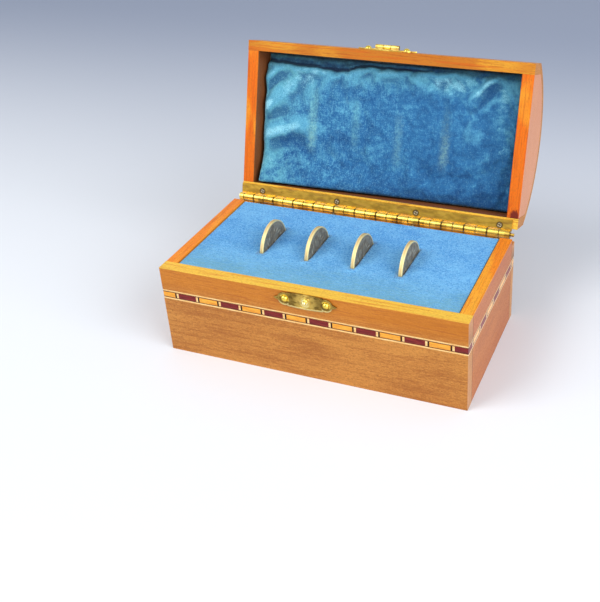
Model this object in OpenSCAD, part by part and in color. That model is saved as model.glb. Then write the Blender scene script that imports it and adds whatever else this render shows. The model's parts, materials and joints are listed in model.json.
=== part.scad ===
// Coin chest: a small hinged box with a domed lid. Four coins stand in a slotted, felt-covered pad,
// a velvet cushion lines the lid, and a brass hasp on the lid closes over a knob on the base.
// Millimetres, +Z up. The origin is the centre of the underside and the front faces -Y.
// Lid pieces are drawn shut and then swung open about the hinge axis.

/* [Base box] */
// Outer width of the chest
chest_w = 178; // [150:1:220]
// Outer depth of the base, front face to back face
chest_d = 94; // [84:1:120]
// Height of the base up to its rims
base_h = 55; // [50:1:80]
// Thickness of the base's side boards
side_t = 7.1; // [5:0.1:9]
// Thickness of the base's front board
front_t = 7.5; // [5:0.1:10]
// Thickness of the base's back board
back_t = 5.4; // [5.4:0.1:7]
// Thickness of the bottom panel
bottom_t = 4; // [3:0.5:6]
// Depth that the bottom panel is let into the boards
bottom_lap = 3; // [2:0.25:4]

/* [Lid] */
// Height of the lid's straight front and back faces
lid_wall_h = 16; // [14:0.5:24]
// Rise of the dome above the straight faces
lid_rise = 25; // [20:0.5:28]
// Thickness of the lid's front board
lid_front_t = 6.1; // [5:0.1:8]
// Thickness of the lid's back board
lid_back_t = 6.3; // [5.8:0.1:8]
// Thickness of the lid's end panels
lid_side_t = 7; // [5:0.1:9]
// Thickness of the curved top panel
lid_top_t = 3.5; // [2.5:0.1:4.5]
// Gap between the rims when the lid is shut
lid_gap = 0.2; // [0.1:0.05:0.5]
// Angle that the open lid stands at
open_angle = 107.4; // [90:0.1:115]

/* [Lining of the lid] */
// Depth of the cushion's flat crown behind the lid's rim
cushion_depth = 12; // [11.9:0.1:13]
// Thickness of the cushion at its crown
cushion_t = 4.6; // [4:0.1:5.5]
// Thickness of the cushion at its edge
cushion_edge_t = 2.6; // [1.5:0.1:3.4]
// How far the cushion's sides pull in between its corners
cushion_pull = 1.2; // [0:0.1:3]
// Thickness of the board behind the cushion
cushion_board_t = 1.8; // [1:0.1:2]
// Gap between the lining and the wood
lining_gap = 0.3; // [0.2:0.1:0.8]

/* [Coins and pad] */
// Radius of a coin
coin_r = 15.3; // [12:0.1:16]
// Thickness of a coin
coin_t = 2.15; // [1.5:0.05:2.6]
// Width of a coin's raised rim
coin_rim = 1.1; // [0.6:0.1:2]
// Depth of a coin's field below its rim
coin_field = 0.2; // [0.1:0.05:0.4]
// Distance from one coin to the next
coin_pitch = 27.7; // [20:0.1:34]
// Height of the coins' tops above the rims
coin_rise = 11.7; // [9:0.1:11.7]
// Gap round a coin's edge in its slot
slot_gap = 0.25; // [0.15:0.05:0.5]
// Gap on each side of a coin's faces in its slot
slot_side_gap = 0.2; // [0.1:0.05:0.4]
// Depth of the pad's face below the rims
pad_drop = 0.7; // [0.6:0.1:2]
// Thickness of the felt on the pad
felt_t = 1.2; // [0.8:0.1:2]
// Thickness of the slotted block under the felt
block_t = 21; // [20:0.5:24]
// Gap between the pad and the boards
pad_gap = 0.3; // [0.2:0.05:0.6]
// Thickness of the two cleats that carry the block
cleat_t = 6; // [4:0.5:10]

/* [Inlay band] */
// Height of the band's lower edge above the table
band_z = 35.1; // [30:0.1:39]
// Depth that the band is let into the boards
inlay_t = 0.8; // [0.5:0.1:1.2]
// Height of a light line
light_line_h = 0.9; // [0.6:0.1:1.4]
// Height of a dark line
dark_line_h = 0.5; // [0.3:0.1:0.8]
// Height of the blocks
block_h = 3; // [2:0.1:4]
// Length of a light block
light_block_w = 11.2; // [8:0.1:16]
// Length of a dark block
dark_block_w = 11.2; // [8:0.1:16]
// Width of the light line between two blocks
light_sep_w = 1.2; // [0.6:0.1:1.6]
// Width of the dark line between two blocks
dark_sep_w = 1; // [0.5:0.1:1.3]
// Length of the light block at the front's left end
front_start = 7.75; // [1:0.25:11]
// Length of the dark block at a side's first end
side_start = 6.85; // [1:0.05:11]

/* [Piano hinge] */
// Outer radius of the hinge's barrel
barrel_r = 2.3; // [2.1:0.05:2.4]
// Distance of the hinge axis behind the base's back face
hinge_back = 2.9; // [2.7:0.1:3.2]
// Thickness of a hinge leaf
leaf_t = 0.9; // [0.75:0.05:1]
// Width of a leaf, from the axis to its free edge
leaf_w = 8.2; // [7.8:0.1:8.2]
// Radius of the hinge pin
pin_r = 1; // [0.7:0.05:1.1]
// Radial clearance of the pin in the knuckles
pin_gap = 0.05; // [0.02:0.01:0.1]
// Length that the knuckles are laid out on, before it is evened out
knuckle_w = 6.88; // [5:0.1:10]
// Gap between two knuckles
knuckle_gap = 0.4; // [0.2:0.05:0.6]
// Gap between a leaf's notch and the knuckle of the other leaf in it
notch_gap = 0.25; // [0.15:0.05:0.4]
// Length of the cut knuckle at the left end
stub_w = 3; // [2:0.25:4]
// Distance of the hinge's right end from the chest's side
hinge_short = 3; // [2:0.5:6]
// How far the pin stands out past the right end of the barrel
pin_out = 2; // [0.5:0.25:3]
// Number of screws in each leaf
screw_n = 4; // [3:1:6]
// Distance of the first screw from the chest's left side
screw_first = 14.4; // [6:0.2:20]
// Distance of the last screw from the leaf's right end
screw_last = 7.4; // [5:0.2:20]
// Distance of the screws from the hinge axis
screw_row = 4.5; // [4.4:0.1:5.2]
// Radius of a screw's head
screw_head_r = 1.6; // [1.3:0.05:1.7]
// Radius of a screw's shank
screw_r = 0.85; // [0.6:0.05:0.95]
// Length of a screw
screw_len = 7.5; // [5:0.5:9]
// Width of the cross recess in a screw's head
recess_w = 0.45; // [0.3:0.05:0.6]

/* [Clasp] */
// Length of the two plates, from tip to tip
plate_w = 36.6; // [35:0.2:44]
// Height of the plates
plate_h = 9.2; // [8.4:0.1:9.4]
// Length of a plate's broad middle
plate_body_w = 20.8; // [16:0.2:22]
// Height of that middle at its two ends
plate_body_h = 8.2; // [7.6:0.1:8.3]
// Radius of a plate's round lobes, which the nails go through
lobe_r = 3.9; // [3.4:0.1:4.2]
// Height of a plate's pointed tips where they leave the lobes
tip_h = 3.6; // [3:0.1:5]
// Thickness of the plates' field
plate_t = 0.6; // [0.4:0.05:1]
// Height of the bead round the plates' edge
bead_t = 0.3; // [0.1:0.05:0.4]
// Width of that bead
bead_w = 0.8; // [0.5:0.1:1.2]
// Radius of the ring pressed in the strike plate round the knob
ring_r = 3.3; // [2.8:0.1:3.5]
// Distance of the strike plate's centre below the base's rim
strike_drop = 4.9; // [4.8:0.1:6]
// Distance of the hasp plate's centre above the lid's rim
hasp_up = 4.9; // [4.8:0.1:6]
// Distance of the nails from the plates' centres
nail_x = 12; // [10.5:0.1:13]
// Radius of a nail's domed head
nail_head_r = 2.1; // [1.9:0.1:2.3]
// Height of a nail's domed head
nail_head_h = 1.8; // [1:0.1:1.9]
// Radius of a nail's shank
nail_r = 0.6; // [0.4:0.05:0.8]
// Length of a nail's shank
nail_len = 4.8; // [3:0.2:5]
// Radius of the strike knob's stem
stem_r = 0.8; // [0.5:0.05:0.8]
// Radius of the low boss that the knob stands on
boss_r = 1.9; // [1.5:0.1:2.1]
// Height of that boss
boss_h = 0.5; // [0.3:0.1:0.7]
// Radius of the strike knob's head
knob_r = 1.25; // [0.9:0.05:1.4]
// Length of the strike knob in front of the board
knob_len = 3.1; // [2.6:0.1:3.6]
// Outer radius of the hasp's barrel
hasp_barrel_r = 1.4; // [1.2:0.05:1.6]
// Length of the hasp's barrel
hasp_barrel_w = 14.5; // [11:0.25:18]
// Radius of the hasp's pin
hasp_pin_r = 0.6; // [0.4:0.05:0.7]
// Thickness of the hasp's tongue
tongue_t = 0.7; // [0.5:0.05:0.9]
// Radius of the tongue's round end
tongue_r = 3.2; // [2.6:0.1:3.6]
// Radius of the hole that snaps over the knob
tongue_hole_r = 1.65; // [1.5:0.05:1.9]
// Gap between the hasp's barrel and its plate
hasp_gap = 0.1; // [0.05:0.05:0.3]

/* [Hidden] */
$fn = 64;
cut = 1; // overshoot of a cutting shape past the face it opens
fit = 0.05; // clearance of a nail, screw or panel in its seat

front_y = -chest_d / 2;
back_y = chest_d / 2;
left_x = -chest_w / 2;
right_x = chest_w / 2;

// Hinge axis, level with the shut rims less the barrel's radius
lid_z = base_h + lid_gap;
axis_y = back_y + hinge_back;
axis_z = lid_z - barrel_r;
leaf_seat_z = axis_z - barrel_r;

// Dome: an arc through the tops of the straight faces
dome_r = (chest_d * chest_d / 4 + lid_rise * lid_rise) / (2 * lid_rise);
dome_z = lid_z + lid_wall_h + lid_rise - dome_r;

// Lining of the lid
cushion_w = chest_w - 2 * (lid_side_t + lining_gap);
cushion_d = chest_d - lid_front_t - lid_back_t - 2 * lining_gap;
cushion_y = (lid_front_t - lid_back_t) / 2;
cushion_back_z = lid_z + cushion_depth + cushion_t;
cushion_nu = 22;
cushion_nv = 12;

// Pad and coins
pad_z = base_h - pad_drop;
block_z = pad_z - felt_t - block_t;
pad_w = chest_w - 2 * (side_t + pad_gap);
pad_y0 = front_y + front_t + pad_gap;
pad_y1 = back_y - back_t - pad_gap;
coin_n = 4;
coin_z = base_h + coin_rise - coin_r;
slot_r = coin_r + slot_gap;
slot_z = coin_z + slot_gap - fit;

// Inlay band
band_h = 2 * (light_line_h + dark_line_h) + block_h;
blocks_z = light_line_h + dark_line_h;
sep_w = light_sep_w + dark_sep_w;
period = light_block_w + dark_block_w + 2 * sep_w;
// Places of the pieces within one period, which starts where a light block ends
at_light_sep = dark_sep_w;
at_dark_block = sep_w;
at_light_sep_2 = at_dark_block + dark_block_w;
at_dark_sep_2 = at_light_sep_2 + light_sep_w;
at_light_block = at_dark_sep_2 + dark_sep_w;
side_phase = side_start - at_light_sep_2;

// Knuckles: an odd number of equal lengths, so that the lid's leaf has both end ones
barrel_x = left_x + stub_w;
barrel_len = chest_w - stub_w - hinge_short;
knuckle_n = 2 * round((barrel_len / knuckle_w - 1) / 2) + 1;
knuckle_step = barrel_len / knuckle_n;
leaf_len = chest_w - hinge_short;
// A notch's edge keeps its gap to the other leaf's knuckle at the leaf's inner face, the nearest place
leaf_notch = sqrt(pow(barrel_r + notch_gap, 2) - pow(barrel_r - leaf_t, 2));
screw_step = (leaf_len - screw_first - screw_last) / (screw_n - 1);
screw_y = axis_y - screw_row;
head_land = 0.15; // metal left under a screw's countersunk head
head_h = leaf_t - head_land;
recess_len = 1.4 * screw_head_r;
recess_turn = 20; // how far a screw's recess is turned from the leaf's edge

// Clasp
strike_z = base_h - strike_drop;
hasp_z = lid_z + hasp_up;
plate_face = plate_t + bead_t;
body_rise = (plate_h - plate_body_h) / 2;
body_arc_r = (plate_body_w * plate_body_w / 4 + body_rise * body_rise) / (2 * body_rise);
tip_reach = plate_w / 2 - nail_x;
tip_arc_r = (tip_reach * tip_reach + tip_h * tip_h / 4) / tip_h;
hasp_y = front_y - plate_t - hasp_gap - hasp_barrel_r;
hasp_knuckle_w = hasp_barrel_w / 3;
tongue_len = hasp_z - strike_z;
// Angle that the open tongue leans at, with its tip resting on the lid
tongue_lean = asin((front_y - hasp_y - tongue_t / 2 - fit) / (tongue_len + tongue_r));

// Swings a piece that is drawn shut about the hinge axis to the open lid's place
module opened() {
    translate([0, axis_y, axis_z])
        rotate([-open_angle, 0, 0])
            translate([0, -axis_y, -axis_z])
                children();
}

// Box from its lowest to its highest corner
module span(low, high) {
    translate(low)
        cube(high - low);
}

// Cylinder along +X from a point
module bar_x(at, r, len) {
    translate(at)
        rotate([0, 90, 0])
            cylinder(r = r, h = len);
}

// Groove round the box's four faces that the inlay band lies in
module band_groove() {
    translate([0, 0, band_z])
        linear_extrude(band_h)
            difference() {
                square([chest_w + 2 * cut, chest_d + 2 * cut], center = true);
                square([chest_w - 2 * inlay_t, chest_d - 2 * inlay_t], center = true);
            }
}

// Room of the bottom panel between the boards, with play all round and from a given depth up
module bottom_room(play, low) {
    reach = side_t - bottom_lap - play;
    span([left_x + reach, front_y + front_t - bottom_lap - play, low],
        [right_x - reach, back_y - back_t + bottom_lap + play, bottom_t + play]);
}

// A board of the base from corner to corner, with the band's groove and the bottom panel's rabbet
module base_board(low, high) {
    color("peru")
        difference() {
            span(low, high);
            band_groove();
            bottom_room(fit, -cut);
        }
}

module front_board() {
    difference() {
        base_board([left_x, front_y, 0], [right_x, front_y + front_t, base_h]);
        for (side = [-1, 1])
            nail_hole([side * nail_x, front_y, strike_z]);
        nail_hole([0, front_y, strike_z], stem_r);
    }
}

module back_board() {
    difference() {
        base_board([left_x, back_y - back_t, 0], [right_x, back_y, leaf_seat_z]);
        for (i = [0 : screw_n - 1])
            translate([screw_x(i), screw_y, leaf_seat_z])
                screw_hole();
    }
}

module left_board() {
    base_board([left_x, front_y + front_t, 0], [left_x + side_t, back_y - back_t, base_h]);
}

module right_board() {
    base_board([right_x - side_t, front_y + front_t, 0], [right_x, back_y - back_t, base_h]);
}

module bottom_panel() {
    color("burlywood")
        bottom_room(0, 0);
}

// Ledge that the slotted block rests on, against a side board
module cleat(x) {
    color("tan")
        span([x, pad_y0, bottom_t], [x + cleat_t, pad_y1, block_z]);
}

module left_cleat() {
    cleat(left_x + side_t);
}

module right_cleat() {
    cleat(right_x - side_t - cleat_t);
}

function coin_x(i) = (i - (coin_n - 1) / 2) * coin_pitch;

// Slot for one coin: round below, straight up to the pad's face and past it
module coin_slot(i) {
    x0 = coin_x(i) - coin_t / 2 - slot_side_gap;
    x1 = coin_x(i) + coin_t / 2 + slot_side_gap;
    bar_x([x0, 0, slot_z], slot_r, x1 - x0);
    span([x0, -slot_r, slot_z], [x1, slot_r, base_h + coin_r]);
}

module slotted_block() {
    color("burlywood")
        difference() {
            span([-pad_w / 2, pad_y0, block_z], [pad_w / 2, pad_y1, pad_z - felt_t]);
            for (i = [0 : coin_n - 1])
                coin_slot(i);
        }
}

module pad_felt() {
    color("cornflowerblue")
        difference() {
            span([-pad_w / 2, pad_y0, pad_z - felt_t], [pad_w / 2, pad_y1, pad_z]);
            for (i = [0 : coin_n - 1])
                coin_slot(i);
        }
}

// One repeated piece of the band along a strip, cut off at the strip's two ends
module band_pieces(phase, offset, width, ends, low, high) {
    for (k = [-1 : ceil(ends[1] / period)]) {
        a = max(phase + k * period + offset, ends[0]);
        b = min(phase + k * period + offset + width, ends[1]);
        if (b - a > dark_sep_w / 2)
            span([a, 0, low], [b, inlay_t, high]);
    }
}

// A kind of piece on one strip: its outer face lies on y = 0 and it runs along +X
module band_strip(kind, phase, ends) {
    top = blocks_z + block_h;
    if (kind == "light lines") {
        span([ends[0], 0, 0], [ends[1], inlay_t, light_line_h]);
        span([ends[0], 0, band_h - light_line_h], [ends[1], inlay_t, band_h]);
        band_pieces(phase, at_light_sep, light_sep_w, ends, blocks_z, top);
        band_pieces(phase, at_light_sep_2, light_sep_w, ends, blocks_z, top);
    }
    if (kind == "dark lines") {
        span([ends[0], 0, light_line_h], [ends[1], inlay_t, blocks_z]);
        span([ends[0], 0, top], [ends[1], inlay_t, top + dark_line_h]);
        band_pieces(phase, 0, dark_sep_w, ends, blocks_z, top);
        band_pieces(phase, at_dark_sep_2, dark_sep_w, ends, blocks_z, top);
    }
    if (kind == "light blocks")
        band_pieces(phase, at_light_block, light_block_w, ends, blocks_z, top);
    if (kind == "dark blocks")
        band_pieces(phase, at_dark_block, dark_block_w, ends, blocks_z, top);
}

// The band's four strips: front and back run from corner to corner, the sides between them
module band(kind) {
    long_ends = [0, chest_w];
    short_ends = [inlay_t, chest_d - inlay_t];
    translate([left_x, front_y, band_z])
        band_strip(kind, front_start, long_ends);
    translate([right_x, back_y, band_z])
        rotate([0, 0, 180])
            band_strip(kind, front_start, long_ends);
    translate([right_x, front_y, band_z])
        rotate([0, 0, 90])
            band_strip(kind, side_phase, short_ends);
    translate([left_x, back_y, band_z])
        rotate([0, 0, -90])
            band_strip(kind, side_phase, short_ends);
}

module inlay_light_lines() {
    color("wheat")
        band("light lines");
}

module inlay_dark_lines() {
    color("#241a16")
        band("dark lines");
}

module inlay_light_blocks() {
    color("goldenrod")
        band("light blocks");
}

module inlay_dark_blocks() {
    color("#5a2030")
        band("dark blocks");
}

function screw_x(i) = left_x + screw_first + i * screw_step;
function knuckle_x(i) = barrel_x + i * knuckle_step;

// Countersunk wood screw with a cross recess, its head level with z = leaf_t, pointing down
module leaf_screw() {
    difference() {
        union() {
            translate([0, 0, leaf_t - head_h])
                cylinder(r1 = screw_r, r2 = screw_head_r, h = head_h);
            translate([0, 0, leaf_t - screw_len])
                cylinder(r = screw_r, h = screw_len - head_h);
        }
        for (turn = [0, 90])
            rotate([0, 0, turn + recess_turn])
                span([-recess_len / 2, -recess_w / 2, leaf_t - head_h / 2],
                    [recess_len / 2, recess_w / 2, leaf_t + cut]);
    }
}

// Hole for a screw's shank in the wood, from z = 0 down
module screw_hole() {
    translate([0, 0, leaf_t - screw_len - fit])
        cylinder(r = screw_r + fit, h = screw_len);
}

// A leaf seen with its outer face down on z = 0 and the axis at y = 0, z = barrel_r:
// a plate notched at the other leaf's knuckles, its own knuckles and the countersunk holes
module leaf(first) {
    difference() {
        union() {
            span([left_x, -leaf_w, 0], [left_x + leaf_len, -leaf_notch, leaf_t]);
            for (i = [first : 2 : knuckle_n - 1])
                knuckle(knuckle_x(i) + knuckle_gap / 2, knuckle_step - knuckle_gap);
            if (first == 1)
                knuckle(left_x, stub_w - knuckle_gap / 2);
        }
        bar_x([left_x - cut, 0, barrel_r], pin_r + pin_gap, chest_w + 2 * cut);
        for (i = [0 : screw_n - 1])
            translate([screw_x(i), -screw_row, leaf_t - head_h - fit])
                cylinder(r1 = screw_r + fit, r2 = screw_head_r + 2 * fit, h = head_h + 2 * fit);
        for (i = [0 : screw_n - 1])
            translate([screw_x(i), -screw_row, -cut])
                cylinder(r = screw_r + fit, h = leaf_t + cut);
    }
}

// One knuckle, its wall running into the leaf's plate
module knuckle(x, len) {
    bar_x([x, 0, barrel_r], barrel_r, len);
    span([x, -leaf_notch, 0], [x + len, 0, leaf_t]);
}

module lower_hinge_leaf() {
    color("goldenrod")
        translate([0, axis_y, leaf_seat_z])
            leaf(1);
}

module upper_hinge_leaf() {
    color("gold")
        opened()
            translate([0, axis_y, lid_z])
                mirror([0, 0, 1])
                    leaf(0);
}

module hinge_pin() {
    color("darkgoldenrod")
        bar_x([left_x, axis_y, axis_z], pin_r, leaf_len + pin_out);
}

module lower_leaf_screws() {
    color("silver")
        for (i = [0 : screw_n - 1])
            translate([screw_x(i), screw_y, leaf_seat_z])
                leaf_screw();
}

module upper_leaf_screws() {
    color("silver")
        opened()
            for (i = [0 : screw_n - 1])
                translate([screw_x(i), screw_y, lid_z])
                    mirror([0, 0, 1])
                        leaf_screw();
}

// Outline of the lid's inside seen from the end, up to the top panel's inner face
module dome_inside() {
    intersection() {
        translate([0, dome_z])
            circle(r = dome_r - lid_top_t);
        translate([front_y, lid_z])
            square([chest_d, lid_wall_h + lid_rise]);
    }
}

// A length of the lid's section between two places along Y, from x to x + len
module lid_slice(x, len, y0, y1) {
    translate([x, 0, 0])
        rotate([90, 0, 90])
            linear_extrude(len)
                intersection() {
                    dome_inside();
                    translate([y0, lid_z])
                        square([y1 - y0, lid_wall_h + lid_rise]);
                }
}

module lid_front_board() {
    color("peru")
        opened()
            difference() {
                lid_slice(left_x, chest_w, front_y, front_y + lid_front_t);
                for (side = [-1, 1])
                    nail_hole([side * nail_x, front_y, hasp_z]);
            }
}

module lid_back_board() {
    color("peru")
        opened()
            difference() {
                lid_slice(left_x, chest_w, back_y - lid_back_t, back_y);
                for (i = [0 : screw_n - 1])
                    translate([screw_x(i), screw_y, lid_z])
                        mirror([0, 0, 1])
                            screw_hole();
            }
}

module lid_left_end() {
    color("peru")
        opened()
            lid_slice(left_x, lid_side_t, front_y + lid_front_t, back_y - lid_back_t);
}

module lid_right_end() {
    color("peru")
        opened()
            lid_slice(right_x - lid_side_t, lid_side_t, front_y + lid_front_t, back_y - lid_back_t);
}

module lid_top_panel() {
    color("sienna")
        opened()
            translate([left_x, 0, 0])
                rotate([90, 0, 90])
                    linear_extrude(chest_w)
                        intersection() {
                            translate([0, dome_z])
                                difference() {
                                    circle(r = dome_r);
                                    circle(r = dome_r - lid_top_t);
                                }
                            translate([front_y, lid_z])
                                square([chest_d, lid_wall_h + lid_rise + cut]);
                        }
}

// Board wedged between the end panels, its long edges cut to the dome
module cushion_board() {
    inner_x = chest_w / 2 - lid_side_t;
    color("gray")
        opened()
            intersection() {
                lid_slice(-inner_x, 2 * inner_x, front_y + lid_front_t, back_y - lid_back_t);
                span([-chest_w, -chest_d, cushion_back_z],
                    [chest_w, chest_d, cushion_back_z + cushion_board_t]);
            }
}

// Cushion's face: full over most of its width, falling to its edge in a soft roll
function cushion_h(u, v) =
    cushion_edge_t + (cushion_t - cushion_edge_t) * (1 - pow(u, 10)) * (1 - pow(v, 8));
// Sides drawn in between the corners
function cushion_at(u, v) = [
    u * (cushion_w / 2 - cushion_pull * pow(abs(u), 3) * (1 - pow(v, 4))),
    v * (cushion_d / 2 - cushion_pull * pow(abs(v), 3) * (1 - pow(u, 8)))];
function cushion_u(i) = 2 * i / cushion_nu - 1;
function cushion_v(j) = 2 * j / cushion_nv - 1;
function cushion_id(i, j, layer) = layer * (cushion_nu + 1) * (cushion_nv + 1) + j * (cushion_nu + 1) + i;
// Two triangles on four corners
function two(a, b, c, d) = [[a, b, c], [a, c, d]];

module lid_cushion() {
    points = [for (layer = [0, 1]) for (j = [0 : cushion_nv]) for (i = [0 : cushion_nu])
        let (u = cushion_u(i), v = cushion_v(j), p = cushion_at(u, v))
            [p[0], p[1], layer == 0 ? 0 : -cushion_h(u, v)]];
    back = [for (j = [0 : cushion_nv - 1]) for (i = [0 : cushion_nu - 1])
        each two(cushion_id(i, j, 0), cushion_id(i, j + 1, 0), cushion_id(i + 1, j + 1, 0),
            cushion_id(i + 1, j, 0))];
    face = [for (j = [0 : cushion_nv - 1]) for (i = [0 : cushion_nu - 1])
        each two(cushion_id(i, j, 1), cushion_id(i + 1, j, 1), cushion_id(i + 1, j + 1, 1),
            cushion_id(i, j + 1, 1))];
    along = [for (i = [0 : cushion_nu - 1])
        each concat(
            two(cushion_id(i, 0, 0), cushion_id(i + 1, 0, 0), cushion_id(i + 1, 0, 1), cushion_id(i, 0, 1)),
            two(cushion_id(i + 1, cushion_nv, 0), cushion_id(i, cushion_nv, 0),
                cushion_id(i, cushion_nv, 1), cushion_id(i + 1, cushion_nv, 1)))];
    across = [for (j = [0 : cushion_nv - 1])
        each concat(
            two(cushion_id(0, j + 1, 0), cushion_id(0, j, 0), cushion_id(0, j, 1), cushion_id(0, j + 1, 1)),
            two(cushion_id(cushion_nu, j, 0), cushion_id(cushion_nu, j + 1, 0),
                cushion_id(cushion_nu, j + 1, 1), cushion_id(cushion_nu, j, 1)))];
    color("steelblue")
        opened()
            translate([0, cushion_y, cushion_back_z])
                polyhedron(points = points, faces = concat(back, face, along, across));
}

// Pointed oval between two arcs
module pointed_oval(arc_r, height, inset) {
    intersection_for (side = [-1, 1])
        translate([0, side * (arc_r - height / 2)])
            circle(r = arc_r - inset, $fn = 4 * $fn);
}

// Outline of a plate, drawn in by a width: a broad bowed middle, a round lobe at each nail, and pointed tips
module plate_outline(inset) {
    intersection() {
        pointed_oval(body_arc_r, plate_h, inset);
        square([plate_body_w - 2 * inset, plate_h], center = true);
    }
    for (side = [-1, 1])
        translate([side * nail_x, 0]) {
            circle(r = lobe_r - inset);
            pointed_oval(tip_arc_r, tip_h, inset);
        }
}

// Stands a flat outline up against the front, its face towards -Y
module on_front(z) {
    translate([0, front_y, z])
        rotate([90, 0, 0])
            children();
}

// Pressed plate with a bead round its edge and two nail holes, lying on z = 0
module clasp_plate() {
    difference() {
        linear_extrude(plate_face)
            plate_outline(0);
        translate([0, 0, plate_t])
            linear_extrude(bead_t + cut)
                plate_outline(bead_w);
        for (side = [-1, 1])
            translate([side * nail_x, 0, 0]) {
                translate([0, 0, -cut])
                    cylinder(r = nail_r + fit, h = plate_face + 2 * cut);
                translate([0, 0, plate_t])
                    cylinder(r = nail_head_r + fit, h = bead_t + cut);
            }
    }
}

// Nail with a domed head that sits on the plate's field
module plate_nail() {
    cap_r = (nail_head_r * nail_head_r + nail_head_h * nail_head_h) / (2 * nail_head_h);
    translate([0, 0, plate_t])
        intersection() {
            translate([0, 0, nail_head_h - cap_r])
                sphere(r = cap_r);
            cylinder(r = 2 * nail_head_r, h = 2 * nail_head_h);
        }
    translate([0, 0, -nail_len])
        cylinder(r = nail_r, h = nail_len + plate_t);
}

// Hole for a nail or stem in the wood behind the front, from the face inwards
module nail_hole(at, r = nail_r) {
    translate([at[0], at[1] - cut, at[2]])
        rotate([-90, 0, 0])
            cylinder(r = r + fit, h = nail_len + fit + cut);
}

// The lower plate: a ring is pressed in it round the knob's boss
module strike_plate() {
    color("darkkhaki")
        on_front(strike_z)
            difference() {
                union() {
                    clasp_plate();
                    cylinder(r = ring_r, h = plate_face);
                }
                translate([0, 0, plate_t])
                    cylinder(r = boss_r + fit, h = bead_t + cut);
                translate([0, 0, -cut])
                    cylinder(r = stem_r + fit, h = plate_face + 2 * cut);
            }
}

// Turned knob: stem through the plate, a low boss on it, a waist and a round head
module strike_knob() {
    color("gold")
        on_front(strike_z)
            rotate_extrude() {
                translate([0, -nail_len])
                    square([stem_r, nail_len + knob_len - knob_r]);
                translate([0, plate_t])
                    square([boss_r, boss_h]);
                intersection() {
                    translate([0, knob_len - knob_r])
                        circle(r = knob_r);
                    translate([0, plate_t])
                        square([boss_r, knob_len]);
                }
            }
}

module nail_pair(z) {
    on_front(z)
        for (side = [-1, 1])
            translate([side * nail_x, 0, 0])
                plate_nail();
}

module strike_nails() {
    color("gold")
        nail_pair(strike_z);
}

module hasp_nails() {
    color("gold")
        opened()
            nail_pair(hasp_z);
}

// Plate on the lid with the two outer knuckles of the hasp's barrel
module hasp_plate() {
    web = hasp_knuckle_w - knuckle_gap / 2;
    color("gold")
        opened() {
            on_front(hasp_z)
                clasp_plate();
            difference() {
                for (x = [-hasp_barrel_w / 2, hasp_barrel_w / 2 - web]) {
                    bar_x([x, hasp_y, hasp_z], hasp_barrel_r, web);
                    span([x, hasp_y, hasp_z - hasp_barrel_r], [x + web, front_y - plate_t / 2, hasp_z]);
                }
                bar_x([-hasp_barrel_w, hasp_y, hasp_z], hasp_pin_r + pin_gap, 2 * hasp_barrel_w);
            }
        }
}

module hasp_pin() {
    color("darkgoldenrod")
        opened()
            bar_x([-hasp_barrel_w / 2, hasp_y, hasp_z], hasp_pin_r, hasp_barrel_w);
}

// Tongue folded back against the lid: middle knuckle, neck, and a round end with the knob's hole
module hasp_tongue() {
    neck = hasp_knuckle_w - knuckle_gap;
    color("khaki")
        opened()
            translate([0, hasp_y, hasp_z])
                rotate([-tongue_lean, 0, 0])
                    difference() {
                        union() {
                            bar_x([-neck / 2, 0, 0], hasp_barrel_r, neck);
                            span([-neck / 2, -tongue_t / 2, 0], [neck / 2, tongue_t / 2, tongue_len]);
                            tongue_disc(tongue_r, tongue_t);
                        }
                        bar_x([-hasp_barrel_w, 0, 0], hasp_pin_r + pin_gap, 2 * hasp_barrel_w);
                        tongue_disc(tongue_hole_r, tongue_t + 2 * cut);
                    }
}

// Disc across the tongue's plane, centred where the knob comes through
module tongue_disc(r, t) {
    translate([0, 0, tongue_len])
        rotate([90, 0, 0])
            cylinder(r = r, h = t, center = true);
}

// Coin on edge with a raised rim on both faces, its faces towards -X and +X
module coin(i) {
    ease = coin_field / 2;
    half = coin_t / 2;
    color("silver")
        translate([coin_x(i), 0, coin_z])
            rotate([0, 90, 0])
                rotate_extrude()
                    polygon([
                        [0, coin_field - half], [coin_r - coin_rim, coin_field - half],
                        [coin_r - coin_rim + ease, -half], [coin_r - ease, -half],
                        [coin_r, ease - half], [coin_r, half - ease],
                        [coin_r - ease, half], [coin_r - coin_rim + ease, half],
                        [coin_r - coin_rim, half - coin_field], [0, half - coin_field]]);
}

module coin_1() {
    coin(0);
}

module coin_2() {
    coin(1);
}

module coin_3() {
    coin(2);
}

module coin_4() {
    coin(3);
}

front_board();
back_board();
left_board();
right_board();
bottom_panel();
left_cleat();
right_cleat();
slotted_block();
pad_felt();
inlay_light_lines();
inlay_dark_lines();
inlay_light_blocks();
inlay_dark_blocks();
lower_hinge_leaf();
hinge_pin();
lower_leaf_screws();
strike_plate();
strike_knob();
strike_nails();
lid_front_board();
lid_back_board();
lid_left_end();
lid_right_end();
lid_top_panel();
cushion_board();
lid_cushion();
upper_hinge_leaf();
upper_leaf_screws();
hasp_plate();
hasp_nails();
hasp_pin();
hasp_tongue();
coin_1();
coin_2();
coin_3();
coin_4();
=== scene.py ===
# Coin chest: a small hinged box with a domed lid, four coins standing in its pad, and a velvet cushion.
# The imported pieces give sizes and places. They get finishes here, and felt, velvet and coins are made.
import json
import math
from functools import partialmethod
from types import SimpleNamespace

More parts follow.
